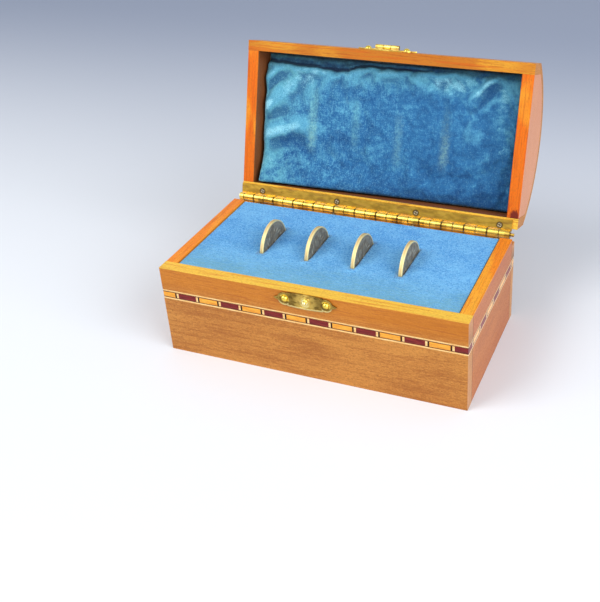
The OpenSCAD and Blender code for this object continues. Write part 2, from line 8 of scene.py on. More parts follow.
import bpy
import numpy as np
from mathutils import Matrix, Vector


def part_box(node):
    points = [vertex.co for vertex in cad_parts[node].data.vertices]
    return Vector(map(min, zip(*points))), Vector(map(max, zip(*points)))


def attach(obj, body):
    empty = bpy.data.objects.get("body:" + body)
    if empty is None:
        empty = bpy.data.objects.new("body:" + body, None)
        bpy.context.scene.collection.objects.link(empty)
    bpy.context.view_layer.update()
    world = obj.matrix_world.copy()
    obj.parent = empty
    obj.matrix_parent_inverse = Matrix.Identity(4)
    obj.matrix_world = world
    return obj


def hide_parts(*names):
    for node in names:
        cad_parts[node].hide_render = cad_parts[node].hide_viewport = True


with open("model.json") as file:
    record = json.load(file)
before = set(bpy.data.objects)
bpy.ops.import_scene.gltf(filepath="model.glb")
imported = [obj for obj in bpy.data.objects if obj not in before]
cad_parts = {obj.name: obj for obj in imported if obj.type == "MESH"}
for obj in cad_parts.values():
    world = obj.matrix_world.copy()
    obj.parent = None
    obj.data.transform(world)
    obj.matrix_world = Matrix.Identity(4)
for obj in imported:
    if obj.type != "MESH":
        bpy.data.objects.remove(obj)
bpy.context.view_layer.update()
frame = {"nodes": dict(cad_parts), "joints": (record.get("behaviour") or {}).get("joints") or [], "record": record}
nodes = frame["nodes"]
mm = 0.001

hinge = next(joint for joint in frame["joints"] if joint["name"] == "lid_hinge")
hingeAt = np.array(hinge["pos_m"]) / mm
openAngle = math.radians(-hinge["range_deg"][0])


def boxOf(node):
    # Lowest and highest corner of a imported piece, in millimetres
    low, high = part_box(node)
    return np.array(low) / mm, np.array(high) / mm


# The front board gives the chest's half width, its front face and the height of the rims
frontLow, frontHigh = boxOf("front_board")
halfWidth, frontFace, rimHeight = frontHigh[0], frontLow[1], frontHigh[2]

coinNumbers = (1, 2, 3, 4)

# The finishes of what opens with the lid are drawn on the shut lid
bodies = frame["record"]["behaviour"]["bodies"]
withLid = {"velvet", *bodies["lid"], *bodies["hasp"]}


def swing(points, angle):
    # Turns points about the hinge axis, which runs along X
    c, s = math.cos(angle), math.sin(angle)
    y, z = points[..., 1] - hingeAt[1], points[..., 2] - hingeAt[2]
    return np.stack([points[..., 0], hingeAt[1] + c * y + s * z, hingeAt[2] - s * y + c * z], axis=-1)


def swingShut(points):
    # From where the open lid stands, as its pieces are packed, to the shut lid's place
    return swing(points, -openAngle)


def smoothNoise(x, y, cell, seed):
    # Random heights from -1 to 1 on a lattice of that cell, joined by smooth steps
    u, v = x / cell, y / cell
    i, j = np.floor(u).astype(int), np.floor(v).astype(int)
    a, b = u - i, v - j
    a, b = a * a * (3 - 2 * a), b * b * (3 - 2 * b)
    i, j = i - i.min(), j - j.min()
    lattice = np.random.default_rng(seed).uniform(-1, 1, (i.max() + 2, j.max() + 2))
    low = lattice[i, j] * (1 - a) + lattice[i + 1, j] * a
    high = lattice[i, j + 1] * (1 - a) + lattice[i + 1, j + 1] * a
    return low * (1 - b) + high * b


def smoothStep(value, low, high):
    # 0 below low, 1 above high; for a share t of the way, three times its square less twice its cube
    t = np.clip((value - low) / (high - low), 0, 1)
    return t * t * (3 - 2 * t)


def addObject(name, data):
    made = bpy.data.objects.new(name, data)
    bpy.context.scene.collection.objects.link(made)
    return made


def addPiece(name, points, faces):
    # Points in millimetres become a smooth mesh in metres, with its object at the origin
    mesh = bpy.data.meshes.new(name)
    mesh.from_pydata((points.reshape(-1, 3) * mm).tolist(), [], faces)
    mesh.shade_smooth()
    return addObject(name, mesh)


def pointsOf(mesh):
    # A mesh's points, in millimetres
    points = np.zeros(len(mesh.vertices) * 3)
    mesh.vertices.foreach_get("co", points)
    return points.reshape(-1, 3) / mm


def mark(piece, label, values):
    # One number at each point, for a material to read
    data = piece.data.attributes.new(label, "FLOAT", "POINT").data
    data.foreach_set("value", values.ravel().astype(np.float32))


def slab(name, top, bottom, keep=None):
    # Two grids of points, joined by walls round every open edge; cells left out of keep are holes
    rows, columns = top.shape[:2]
    ids = np.arange(rows * columns).reshape(rows, columns)
    cells = np.stack([ids[:-1, :-1], ids[1:, :-1], ids[1:, 1:], ids[:-1, 1:]], axis=-1)
    quads = cells.reshape(-1, 4) if keep is None else cells[keep]
    edges = np.stack([quads, np.roll(quads, -1, axis=1)], axis=-1).reshape(-1, 2)
    there, back = edges @ [ids.size, 1], edges @ [1, ids.size]
    a, b = edges[~np.isin(there, back)].T
    walls = np.stack([b, a, a + ids.size, b + ids.size], axis=1)
    faces = np.concatenate([quads, quads[:, ::-1] + ids.size, walls])
    used, faces = np.unique(faces, return_inverse=True)
    points = np.concatenate([top.reshape(-1, 3), bottom.reshape(-1, 3)])[used]
    return addPiece(name, points, faces.reshape(-1, 4).tolist())


# Materials: a wrapped socket, and one builder for any tree of nodes

def tint(red, green, blue):
    # A colour as a paint program shows it, 0 to 255, in the linear values that the sockets take
    shares = np.array([red, green, blue]) / 255
    linear = np.where(shares <= 0.04045, shares / 12.92, ((shares + 0.055) / 1.055) ** 2.4)
    return (*linear.tolist(), 1.0)


class Value:
    # A node's output in a sum: each operator adds one Math node
    def __init__(self, graph, socket):
        self.graph = graph
        self.socket = socket

    def math(self, operation, other=None):
        return self.graph.node("ShaderNodeMath", {"operation": operation}, {0: self, 1: other})

    __add__ = __radd__ = partialmethod(math, "ADD")
    __sub__ = partialmethod(math, "SUBTRACT")
    __mul__ = __rmul__ = partialmethod(math, "MULTIPLY")
    __gt__ = partialmethod(math, "GREATER_THAN")
    __lt__ = partialmethod(math, "LESS_THAN")
    __abs__ = partialmethod(math, "ABSOLUTE")
    larger = partialmethod(math, "MAXIMUM")

    def __rsub__(self, other):
        return self.graph.node("ShaderNodeMath", {"operation": "SUBTRACT"}, {0: other, 1: self})

    def ramp(self, low, high):
        # 0 below low, 1 above high, a smooth step between
        return self.graph.node("ShaderNodeMapRange", {"interpolation_type": "SMOOTHSTEP"},
                               {"Value": self, "From Min": low, "From Max": high})

    def fade(self, low, high):
        # The other way: 1 below low, 0 above high
        return 1 - self.ramp(low, high)

    def parts(self):
        # The three numbers of a vector
        made = self.graph.node("ShaderNodeSeparateXYZ", inputs={0: self}).socket.node
        return [Value(self.graph, socket) for socket in made.outputs]

    def noise(self, size, detail=2.0, distortion=0.0):
        # Cloudy noise at a place, with lumps about that many millimetres across, along X, Y and Z
        scale = (1 / np.broadcast_to(size, 3)).tolist()
        scaled = self.graph.node("ShaderNodeVectorMath", {"operation": "MULTIPLY"}, {0: self, 1: scale})
        return self.graph.node("ShaderNodeTexNoise", inputs={
            "Vector": scaled, "Scale": 1.0, "Detail": detail, "Distortion": distortion})


class Graph:
    def __init__(self, tree):
        self.tree = tree

    def node(self, kind, settings=None, inputs=None, output=0):
        # Adds a node, sets it and its inputs, and wraps one of its outputs
        made = self.tree.nodes.new(kind)
        for name, value in (settings or {}).items():
            setattr(made, name, value)
        for key, value in (inputs or {}).items():
            self.put(value, made.inputs[key])
        return Value(self, made.outputs[output])

    def put(self, value, socket):
        # Links a wrapped socket, or sets a number or a colour
        if isinstance(value, Value):
            self.tree.links.new(value.socket, socket)
        elif value is not None:
            socket.default_value = tint(*value) if socket.type == "RGBA" else value


class Finish(Graph):
    def __init__(self, name, **constants):
        self.onLid = name in withLid
        self.material = bpy.data.materials.new(name)
        self.material.use_nodes = True
        super().__init__(self.material.node_tree)
        self.surface = self.tree.nodes["Principled BSDF"]
        self.set(**constants)

    def set(self, **values):
        # coatWeight=0.3 sets or links the shader's Coat Weight
        for name, value in values.items():
            words = "".join(" " + letter if letter.isupper() else letter for letter in name)
            self.put(value, self.surface.inputs[words.title().replace("I O R", "IOR")])
        return self

    def place(self, offset=(0, 0, 0)):
        # Object coordinates in millimetres, for a lid piece turned back to the shut lid
        moved = np.array(offset, float)
        if self.onLid:
            moved += swingShut(np.zeros(3))
        coordinates = self.node("ShaderNodeTexCoord", output="Object")
        turn = (openAngle if self.onLid else 0.0, 0.0, 0.0)
        return self.node("ShaderNodeMapping", {"vector_type": "POINT"},
                         {"Vector": coordinates, "Location": moved.tolist(), "Rotation": turn,
                          "Scale": (1 / mm, 1 / mm, 1 / mm)})

    def length(self, x, y, z):
        # How long the vector of three numbers is
        vector = self.node("ShaderNodeCombineXYZ", inputs={0: x, 1: y, 2: z})
        return self.node("ShaderNodeVectorMath", {"operation": "LENGTH"}, {0: vector}, output="Value")

    def mix(self, share, first, second):
        return self.node("ShaderNodeMix", {"data_type": "RGBA"}, {0: share, 6: first, 7: second}, output=2)

    def coats(self, colour, *coats):
        # Each coat lies over what is there, with its own share and colour
        for share, coat in coats:
            colour = self.mix(share, colour, coat)
        return colour

    def attribute(self, name):
        return self.node("ShaderNodeAttribute", {"attribute_name": name}, output="Fac")

    def bump(self, height, depth):
        # The surface rises by depth millimetres where height is 1
        self.set(normal=self.node("ShaderNodeBump", inputs={"Height": height, "Distance": depth * mm,
                                                            "Strength": 1.0}))
        return self


def dress(makeFinish, *names):
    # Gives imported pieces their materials
    for name in names:
        mesh = nodes[name].data
        mesh.materials.clear()
        mesh.materials.append(makeFinish(name).material)


print("camera, floor and lamps")

camera = {
    "at": (0.1911, -0.4181, 0.3191),
    "turn": (59.371, 2.474, 21.609),
    "lens": 56.32,
    "sensor": 36,
    "shift": (-0.1014, -0.0656),
}

floor = {
    "half": 4.0,
    "near": (240, 244, 250),
    "far": (158, 168, 190),
    "nearY": -80,
    "farY": 620,
    "roughness": 0.9,
}

lamps = {
    "key": {"at": (-0.75, -0.85, 1.35), "size": 0.9, "power": 14.5, "colour": (1.0, 0.98, 0.95)},
    "fill": {"at": (1.25, -0.55, 0.85), "size": 1.2, "power": 17.0, "colour": (0.95, 0.97, 1.0)},
}

sky = {"ambient": ((247, 250.5, 255), 0.5), "seen": ((226, 232, 243), 1.0)}


def addCamera():
    data = bpy.data.cameras.new("camera")
    data.sensor_width = camera["sensor"]
    data.lens = camera["lens"]
    data.shift_x, data.shift_y = camera["shift"]
    seen = addObject("camera", data)
    seen.location = camera["at"]
    seen.rotation_euler = [math.radians(a) for a in camera["turn"]]
    bpy.context.scene.camera = seen


def addFloor():
    half = floor["half"] / mm
    corners = np.array([[-half, -half, 0], [half, -half, 0], [half, half, 0], [-half, half, 0]])
    ground = addPiece("floor", corners, [[0, 1, 2, 3]])
    finish = Finish("floor", roughness=floor["roughness"])
    # Painted shade: the floor darkens towards the back, a painted fall-off of the light
    depth = finish.place().parts()[1]
    away = depth.ramp(floor["nearY"], floor["farY"])
    finish.set(baseColor=finish.mix(away, floor["near"], floor["far"]))
    ground.data.materials.append(finish.material)


def addLamps():
    for name, lamp in lamps.items():
        data = bpy.data.lights.new(name, "AREA")
        data.size = lamp["size"]
        data.energy = lamp["power"]
        data.color = lamp["colour"]
        light = addObject(name, data)
        light.location = lamp["at"]
        light.rotation_euler = (-light.location).to_track_quat("-Z", "Y").to_euler()


def addSky():
    # The world lights the object softly; the camera and polished metal see a pale backdrop
    world = bpy.data.worlds.new("sky")
    bpy.context.scene.world = world
    world.use_nodes = True
    graph = Graph(world.node_tree)
    rays = graph.node("ShaderNodeLightPath").socket.node.outputs
    kinds = ("Camera", "Glossy", "Transmission")
    seen, glossy, passed = [Value(graph, rays[f"Is {kind} Ray"]) for kind in kinds]
    seen = seen.larger(glossy).larger(passed)
    ambient, backdrop = [graph.node("ShaderNodeBackground", inputs={"Color": colour, "Strength": strength})
                         for colour, strength in (sky["ambient"], sky["seen"])]
    both = graph.node("ShaderNodeMixShader", inputs={0: seen, 1: ambient, 2: backdrop})
    graph.put(both, world.node_tree.nodes["World Output"].inputs["Surface"])


addCamera()
addFloor()
addLamps()
addSky()
bpy.context.scene.view_settings.view_transform = "Standard"

print("wood")

# Heights are from the floor; each pair is where a change begins and ends
woods = {
    "light": (214, 146, 68),
    "dark": (172, 104, 44),
    "pore": (92, 46, 18),
    "streak": (176, 96, 34),
    # painted shade on the faces inside the lid
    "inside": (112, 54, 36),
    "end": (212, 164, 128),
    "warm": (206, 120, 14),
    "warmHeights": (36, 48),
    "curlHeights": (38, 41),
    # painted shade on the ends' outer faces towards the floor
    "foot": (182, 92, 40),
    "footHeights": (0, 32),
    "sheenHeights": (30, 52),
    "jointWidth": 0.5,
}

# The wood's noises, drawn out along the grain: length and width of a lump, detail and distortion
grains = {
    "figure": (60, 16, 3.0, 0.6),
    "streaks": (38, 1.5, 4.0, 0.3),
    "fibres": (3.2, 0.36, 2.0, 0.0),
    "pores": (1.7, 0.26, 1.5, 0.0),
    "flecks": (0.75, 0.75, 2.0, 0.0),
    "curls": (22, 1.2, 3.0, 1.6),
    "veins": (18, 0.7, 3.0, 0.4),
}

# Each kind of rim has its own colour, brighter where it faces the lamps: partly the rims' own tone, partly painted
# light
rims = {
    "front": (255, 209, 76),
    "side": (255, 146, 32),
    "lidFront": (204, 120, 28),
    "lid": (240, 114, 10),
    "streak": (206, 84, 20),
    "vein": (168, 76, 22),
    "figure": (255, 196, 60),
    "knot": (98, 18, 22),
    "tick": (160, 44, 16),
    "depth": 0.5,
    # how far down the walls round the pad the rim colour goes, as painted light over their shade
    "wall": 2.4,
}

# The light's sheen on the chest's two ends, by the board's kind of rim: share and colour
sheens = {"side": (0.38, (194, 108, 84)), "lid": (0.5, (230, 160, 126))}

# Each board: the axis its grain runs along, where in the tree it was cut, and its kind of rim
boards = {
    "front_board": {"grain": 0, "cut": (310, 40, 95), "rim": "front"},
    "back_board": {"grain": 0, "cut": (920, 215, 30), "rim": "front"},
    "left_board": {"grain": 1, "cut": (45, 540, 160), "rim": "side"},
    "right_board": {"grain": 1, "cut": (710, 130, 350), "rim": "side", "near": 0.45},
    "lid_front_board": {"grain": 0, "cut": (130, 620, 240), "rim": "lidFront"},
    "lid_back_board": {"grain": 0, "cut": (560, 330, 410), "rim": "front"},
    "lid_left_end": {"grain": 1, "cut": (230, 760, 520), "rim": "lid"},
    "lid_right_end": {"grain": 1, "cut": (480, 90, 640), "rim": "lid", "knot": (86.4, 39.4)},
    "lid_top_panel": {"grain": 0, "cut": (820, 450, 780), "rim": "lidFront"},
}
hiddenBoard = {"grain": 0, "cut": (15, 820, 610)}


def grainOf(finish, board):
    # The wood's noises along the board's grain, its pores as marks, and the light and dark they add up to
    place = finish.place(board["cut"])
    noises = {}
    for kind, (length, width, detail, distortion) in grains.items():
        size = [length if axis == board["grain"] else width for axis in range(3)]
        noises[kind] = place.noise(size, detail, distortion)
    grain = SimpleNamespace(**noises)
    grain.pores = grain.pores.ramp(0.52, 0.7)
    shade = 0.27 * grain.figure + 0.28 * grain.streaks + 0.27 * grain.fibres + 0.18 * grain.flecks
    grain.shade = shade.ramp(0.38, 0.62)
    return grain


def outerFace(x):
    # 1 on the faces at the chest's two ends
    return abs(x).ramp(halfWidth - 0.3, halfWidth - 0.1)


def insideLid(x, y, height):
    # 1 on the faces that look into the lid, which get painted shade
    board = swingShut(pointsOf(nodes["cushion_board"].data))
    low, high = board.min(axis=0), board.max(axis=0)
    across = abs(x).fade(high[0] - 0.05, high[0] + 0.1)
    along = y.ramp(low[1] - 0.1, low[1] + 0.05) * y.fade(high[1] - 0.05, high[1] + 0.1)
    return across * along * height.ramp(rimHeight + 0.6, rimHeight + 1.2)


def faceColour(finish, name, board, grain, colour, place):
    # Painted shade inside the lid, warm above the band; at the two ends end grain and painted sheen, with painted
    # shade at the foot and joints
    x, y, height = place
    outer = outerFace(x)
    # Painted shade on the faces inside the lid
    if finish.onLid and name != "lid_top_panel":
        colour = finish.mix(insideLid(x, y, height), colour, woods["inside"])
    if name in ("front_board", "back_board"):
        curls = height.ramp(*woods["curlHeights"]) * grain.curls.ramp(0.54, 0.64)
        colour = finish.coats(colour,
            (0.58 * height.ramp(*woods["warmHeights"]), woods["warm"]),
            (0.6 * curls, woods["streak"]),
            (0.5 * outer, woods["end"]))
    if board["rim"] in sheens:
        share, sheen = sheens[board["rim"]]
        share = share * (1 + 0.4 * height.ramp(*woods["sheenHeights"]))
        colour = finish.mix(share * outer, colour, sheen)
    if board["rim"] == "side":
        near, far = boxOf(name)[0][1] + 0.3, boxOf(name)[1][1] - 0.3
        joints = y.fade(near, near + woods["jointWidth"]).larger(y.ramp(far - woods["jointWidth"], far))
        # Painted shade: the outer faces darken and redden towards the floor; the joints are dark
        colour = finish.coats(colour,
            (0.32 * outer * height.fade(*woods["footHeights"]), woods["foot"]),
            (0.7 * outer * joints, woods["pore"]))
    return colour


def rimOf(finish, place):
    # 1 on the sawn rims, which face down on the shut lid, and as painted light on the upper end of the walls round
    # the pad
    x, y, height = place
    if finish.onLid:
        return height.fade(rimHeight + 0.3, rimHeight + 0.3 + rims["depth"])
    halfDepth, wallTop = boxOf("back_board")[1][1], rimHeight - rims["wall"]
    within = abs(x).fade(halfWidth - 2, halfWidth - 1) * abs(y).fade(halfDepth - 2, halfDepth - 1)
    # Painted light: the rim colour goes down the walls round the pad, over their shade
    walls = within * height.ramp(wallTop, wallTop + 0.6)
    return height.ramp(rimHeight - rims["depth"], rimHeight - 0.1).larger(walls)


def rimColour(finish, board, grain, place):
    # Partly painted light, partly their own tone, with a pale figure, red streaks and dark veins; one is paler in
    # front, and one has a knot
    x, y, height = place
    colour = finish.mix(0.45 * grain.figure.ramp(0.48, 0.66), rims[board["rim"]], rims["figure"])
    if "near" in board:
        near = board["near"] * (y + 30 * (grain.figure - 0.5)).fade(-40, 0)
        colour = finish.mix(near, colour, rims["figure"])
    veins = (0.5 if finish.onLid else 0.25) * grain.veins.ramp(0.54, 0.66)
    colour = finish.coats(colour,
        (0.2 * (1 - grain.shade), woods["dark"]),
        (0.5 * grain.pores, woods["streak"]),
        (0.45 * grain.streaks.ramp(0.52, 0.66), rims["streak"]),
        (veins, rims["vein"]))
    if "knot" in board:
        knotX, knotY = board["knot"]
        away = finish.length(1.2 * (x - knotX), y - knotY, 0.0)
        knot = (away + 4 * (grain.fibres - 0.5) + 4 * (grain.streaks - 0.5)).fade(2.4, 4.2)
        ticks = (0.5 * grain.fibres + 0.5 * grain.streaks).ramp(0.52, 0.6) * away.fade(6, 18)
        colour = finish.coats(colour, (0.55 * ticks, rims["tick"]), (0.9 * knot, rims["knot"]))
    return colour


def woodFinish(name):
    # Straight grain: a faint broad figure, fine streaks and short open pores, all along one axis
    board = boards.get(name, hiddenBoard)
    finish = Finish(name, coatWeight=0.06, coatRoughness=0.3, specularIORLevel=0.2)
    grain = grainOf(finish, board)
    colour = finish.coats(woods["dark"],
        (grain.shade, woods["light"]),
        (0.3 * grain.streaks.ramp(0.56, 0.74), woods["streak"]),
        (0.42 * grain.pores, woods["pore"]))
    if "rim" in board:
        place = finish.place().parts()
        colour = faceColour(finish, name, board, grain, colour, place)
        colour = finish.mix(rimOf(finish, place), colour, rimColour(finish, board, grain, place))
    finish.set(baseColor=colour, roughness=0.42 + 0.2 * grain.pores)
    return finish.bump(0.3 * grain.fibres + 0.2 * grain.streaks - grain.pores, 0.03)


dress(woodFinish, *boards)

plain = woodFinish("plain wood")
dress(lambda name: plain, "bottom_panel", "left_cleat", "right_cleat", "slotted_block")


print("inlay band")

# side: share of a paler colour on the chest's two ends, where the light grazes
inlays = {
    "inlay_light_lines": {
        "colour": (255, 222, 158), "other": (250, 194, 116), "side": (0.5, (255, 228, 200)),
    },
    "inlay_dark_lines": {
        "colour": (36, 16, 6), "other": (62, 30, 14), "line": (128, 66, 34), "side": (0.2, (206, 158, 140)),
    },
    "inlay_light_blocks": {
        "colour": (252, 182, 70), "other": (236, 152, 52), "side": (0.6, (255, 216, 172)),
    },
    "inlay_dark_blocks": {
        "colour": (140, 48, 44), "other": (104, 28, 34), "side": (0.3, (190, 150, 156)),
    },
}


def inlayFinish(name):
    # Fine-grained slips with small pores; of the dark lines, those that run along the band are paler
    inlay = inlays[name]
    finish = Finish(name, coatWeight=0.04, coatRoughness=0.3, roughness=0.5, specularIORLevel=0.15)
    place = finish.place()
    x, y, height = place.parts()
    grain = place.noise((6, 6, 0.5), 3.0)
    pores = place.noise((1.6, 1.6, 0.16), 1.0).ramp(0.6, 0.72)
    colour = finish.mix(grain.ramp(0.35, 0.65), inlay["colour"], inlay["other"])
    if "line" in inlay:
        low, high = boxOf(name)
        middle, half = (high[2] + low[2]) / 2, (high[2] - low[2]) / 2
        along = abs(height - middle).ramp(half - 0.6, half - 0.45)
        colour = finish.mix(0.7 * along, colour, inlay["line"])
    share, paler = inlay["side"]
    colour = finish.coats(colour, (0.25 * pores, woods["pore"]), (share * outerFace(x), paler))
    finish.set(baseColor=colour)
    return finish.bump(grain - pores, 0.015)


dress(inlayFinish, *inlays)


print("softened edges")

edges = {"wood": 0.35, "metal": 0.12, "segments": 3, "sharp": math.radians(35)}


def edgeWeights():
    # Which edges the bevel rounds: the sharp ones, but of the flush inlay band only those at the corners
    low, high = boxOf("inlay_light_lines")
    corner = np.array([high[0], high[1]]) - 0.05
    group = bpy.data.node_groups.new("edge weights", "GeometryNodeTree")
    group.interface.new_socket("Geometry", in_out="INPUT", socket_type="NodeSocketGeometry")
    group.interface.new_socket("Geometry", in_out="OUTPUT", socket_type="NodeSocketGeometry")
    graph = Graph(group)
    x, y, z = graph.node("GeometryNodeInputPosition").parts()
    sharp = graph.node("GeometryNodeInputMeshEdgeAngle") > edges["sharp"]
    inBand = (z > (low[2] - 0.1) * mm) * (z < (high[2] + 0.1) * mm)
    atCorner = (abs(x) > corner[0] * mm) * (abs(y) > corner[1] * mm)
    given = graph.node("NodeGroupInput")
    weight = sharp * (1 - inBand * (1 - atCorner))
    stored = graph.node("GeometryNodeStoreNamedAttribute", {"data_type": "FLOAT", "domain": "EDGE"},
                        {"Geometry": given, "Name": "bevel_weight_edge", "Value": weight})
    out = group.nodes.new("NodeGroupOutput")
    graph.put(stored, out.inputs[0])
    return group


boardEdges = edgeWeights()


def soften(node, width, byWeight=False):
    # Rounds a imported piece's edges with live modifiers; its mesh stays as it is
    piece = nodes[node]
    weld = piece.modifiers.new("weld", "WELD")
    weld.merge_threshold = 0.005 * mm
    flat = piece.modifiers.new("flat", "DECIMATE")
    flat.decimate_type = "DISSOLVE"
    flat.angle_limit = math.radians(0.5)
    if byWeight:
        piece.modifiers.new("weights", "NODES").node_group = boardEdges
    bevel = piece.modifiers.new("bevel", "BEVEL")
    bevel.width = width * mm
    bevel.segments = edges["segments"]
    bevel.limit_method = "WEIGHT" if byWeight else "ANGLE"
    bevel.angle_limit = edges["sharp"]
    piece.modifiers.new("normals", "WEIGHTED_NORMAL")


for name in [*boards, *inlays]:
    soften(name, edges["wood"], byWeight=True)


print("brass")

brass = {
    "bright": (238, 208, 96),
    "warm": (232, 186, 76),
    "nail": (250, 216, 90),
    "leaf": (232, 182, 70),
    "dull": (152, 110, 40),
    # painted reflection on the barrel's lower side
    "under": (214, 186, 122),
    "film": (168, 112, 72),
    "dark": (76, 52, 18),
}

# The barrel of the piano hinge, and where its knuckles lie along X; its side painted pale, a painted reflection,
# faces "under" at rest
knuckles = {
    "first": -86.0,
    "step": 6.88,
    "gap": 0.4,
    "radius": 2.3,
    # how far the painted shade and dirt reach from each knuckle's end
    "dirt": 0.25,
    "end": 86.2,
    "under": (0.0, -0.55, -0.83),
}

# Both leaves have four screws, in a row this far in front of the hinge axis
screwRow = {"spaces": 3, "headRadius": 1.6, "fromHinge": 4.5}


def fromScrew(finish, x, y):
    # How far a place on a leaf lies from the nearest screw's middle
    low, high = boxOf("lower_leaf_screws")
    first, last = low[0] + screwRow["headRadius"], high[0] - screwRow["headRadius"]
    step = (last - first) / screwRow["spaces"]
    along = (x - first) * (1 / step) + 0.5
    return finish.length((along.math("FRACT") - 0.5) * step, y - (hingeAt[1] - screwRow["fromHinge"]), 0.0)


def barrelCoats(finish, place, cloud, film, tarnish):
    # The barrel is rubbed bright, some knuckles less, with painted shade on their lower side; its underside is
    # painted pale, a painted reflection. Painted shade with some dirt lies in the gaps at the knuckles' ends, most
    # on the upper leaf's, and painted shade lies round the screws
    x, y, z = place.parts()
    y0, z0 = y - hingeAt[1], z - hingeAt[2]
    radius, step, end = knuckles["radius"], knuckles["step"], knuckles["end"]
    barrel = finish.length(0.0, y0, z0).fade(radius + 0.05, radius + 0.5)
    below = np.array(knuckles["under"])
    if finish.onLid:
        below = swingShut(below) - swingShut(np.zeros(3))
    low = (y0 * below[1] + z0 * below[2]) * (1 / radius)
    # Painted reflection: the barrel's lower side is painted pale and less metallic
    under = barrel * (low + 0.5 * (cloud - 0.5) + 0.6 * (film - 0.5)).ramp(0.35, 0.9)
    along = (x - knuckles["first"]) * (1 / step) + 0.5
    own = finish.node("ShaderNodeTexWhiteNoise", {"noise_dimensions": "1D"}, {"W": along.math("FLOOR")})
    # Some knuckles duller, most on their lower side, partly painted shade
    dullerAndShaded = barrel * own.ramp(0.45, 1.0) * (cloud + 0.3 * low).ramp(0.3, 0.6)
    toEnd = abs(along.math("FRACT") - 0.5) * step
    upper = (along * 0.5).math("FRACT") > 0.5
    reach = knuckles["gap"] / 2 + knuckles["dirt"] * (0.6 + upper)
    # Painted shade with some dirt in the gaps at the knuckles' ends
    dirt = barrel * (toEnd - reach).fade(-0.2, 0.2) * (0.45 + 0.45 * upper)
    dirt = dirt * x.fade(end - 0.3, end - 0.1)
    # Painted shade round the screws' heads
    screwShade = 0.85 * (1 - barrel) * fromScrew(finish, x, y).fade(1.8, 2.4)
    finish.set(metallic=1 - 0.2 * barrel - 0.5 * under)
    return barrel, [
        (barrel, finish.mix(0.6 * tarnish, brass["bright"], brass["warm"])),
        (0.85 * under, brass["under"]),
        (0.75 * dullerAndShaded, brass["dull"]),
        (0.8 * dirt.larger(screwShade), brass["dark"]),
    ]


def brassFinish(name):
    # Lacquered brass: clouds of tarnish, most on the piano hinge, a thin film and small dark specks
    bright, dull, amount = ("leaf", "dull", 0.6) if "hinge" in name else ("bright", "warm", 0.3)
    finish = Finish(name, metallic=1.0)
    place = finish.place()
    cloud = place.noise((6, 2.6, 2.6), 5.0, 0.3)
    film = place.noise((11, 1.6, 1.6), 4.0, 0.3)
    specks = place.noise(0.8, 2.0).ramp(0.66, 0.76)
    tarnish = amount * cloud.ramp(0.34, 0.68)
    roughness = 0.28 + 0.14 * tarnish + 0.2 * specks
    coats = [
        (tarnish, brass[dull]),
        (0.6 * amount * film.ramp(0.5, 0.7), brass["film"]),
        (0.55 * specks, brass["dark"]),
    ]
    if "hinge" in name:
        barrel, more = barrelCoats(finish, place, cloud, film, tarnish)
        roughness = roughness - 0.04 * barrel
        coats += more
    finish.set(baseColor=finish.coats(brass[bright], *coats), roughness=roughness)
    return finish.bump(0.6 * cloud + 0.4 * place.noise((3, 0.6, 0.6), 2.0), 0.04)


plates = {
    "dish": 8.5,
    "depth": 0.5,
    "aboveRim": 5.1,
    "nailX": 12,
    "field": (208, 174, 88),
    "shade": (104, 80, 34),
    # the hasp plate on the lid: the same brass painted lighter, as painted light
    "litHaspField": (252, 216, 100),
    "litHaspShade": (196, 150, 60),
    # painted highlights: on the lower bead and the knob, and in the middle of the plate
    "bead": (255, 238, 168),
    "polished": (246, 222, 124),
}


def plateMiddle(finish):
    # Height of the strike plate's middle, or of the hasp plate's on the shut lid
    low, high = boxOf("strike_plate")
    return rimHeight + plates["aboveRim"] if finish.onLid else (low[2] + high[2]) / 2


def plateFinish(name):
    # Pressed brass, gone olive: dished round its middle, with olive tarnish and painted shade beside it, painted
    # highlights in the middle and on the lower bead, and painted highlight and shade round the nails
    finish = Finish(name, metallic=1.0)
    place = finish.place()
    x, y, z = place.parts()
    up = z - plateMiddle(finish)
    away = finish.length(x, 0.0, up)
    cloud = place.noise((3, 3, 2), 3.0, 0.8)
    # Painted shade beside the middle, with olive tarnish clouds
    shade = (away + 6 * (cloud - 0.5)).ramp(3.0, 7.0) * (1 - 0.4 * away.ramp(9.5, 13.0))
    field, dark = ("litHaspField", "litHaspShade") if finish.onLid else ("field", "shade")
    # Painted highlight in the middle
    polished = (finish.length(1.5 * x, 0.0, up) + 5 * (cloud - 0.5)).fade(1.6, 4.4)
    # Painted highlight along the bead's lower side
    bead = (frontFace - y).ramp(0.68, 0.82) * (2 * (cloud - 0.5) - up).ramp(0.5, 3.0)
    toNail = finish.length(abs(x) - plates["nailX"], 0.0, up)
    aside = x - plates["nailX"] * x.math("SIGN")
    # Painted highlight above each nail's seat and painted shade below it
    seatLightAndShade = finish.mix((up + 0.6 * aside).ramp(-0.9, 0.3), brass["dark"], brass["nail"])
    colour = finish.coats(plates[field],
        (0.7 * shade + 0.25 * cloud.ramp(0.45, 0.65), plates[dark]),
        (polished, plates["polished"]),
        (0.5 * bead, plates["bead"]),
        (0.75 * (toNail + 1.5 * (cloud - 0.5)).fade(2.2, 3.0), seatLightAndShade))
    finish.set(baseColor=colour, roughness=0.3 + 0.1 * cloud)
    return finish.bump(plates["depth"] * away.ramp(0.0, plates["dish"]) + 0.15 * cloud, 1.0)


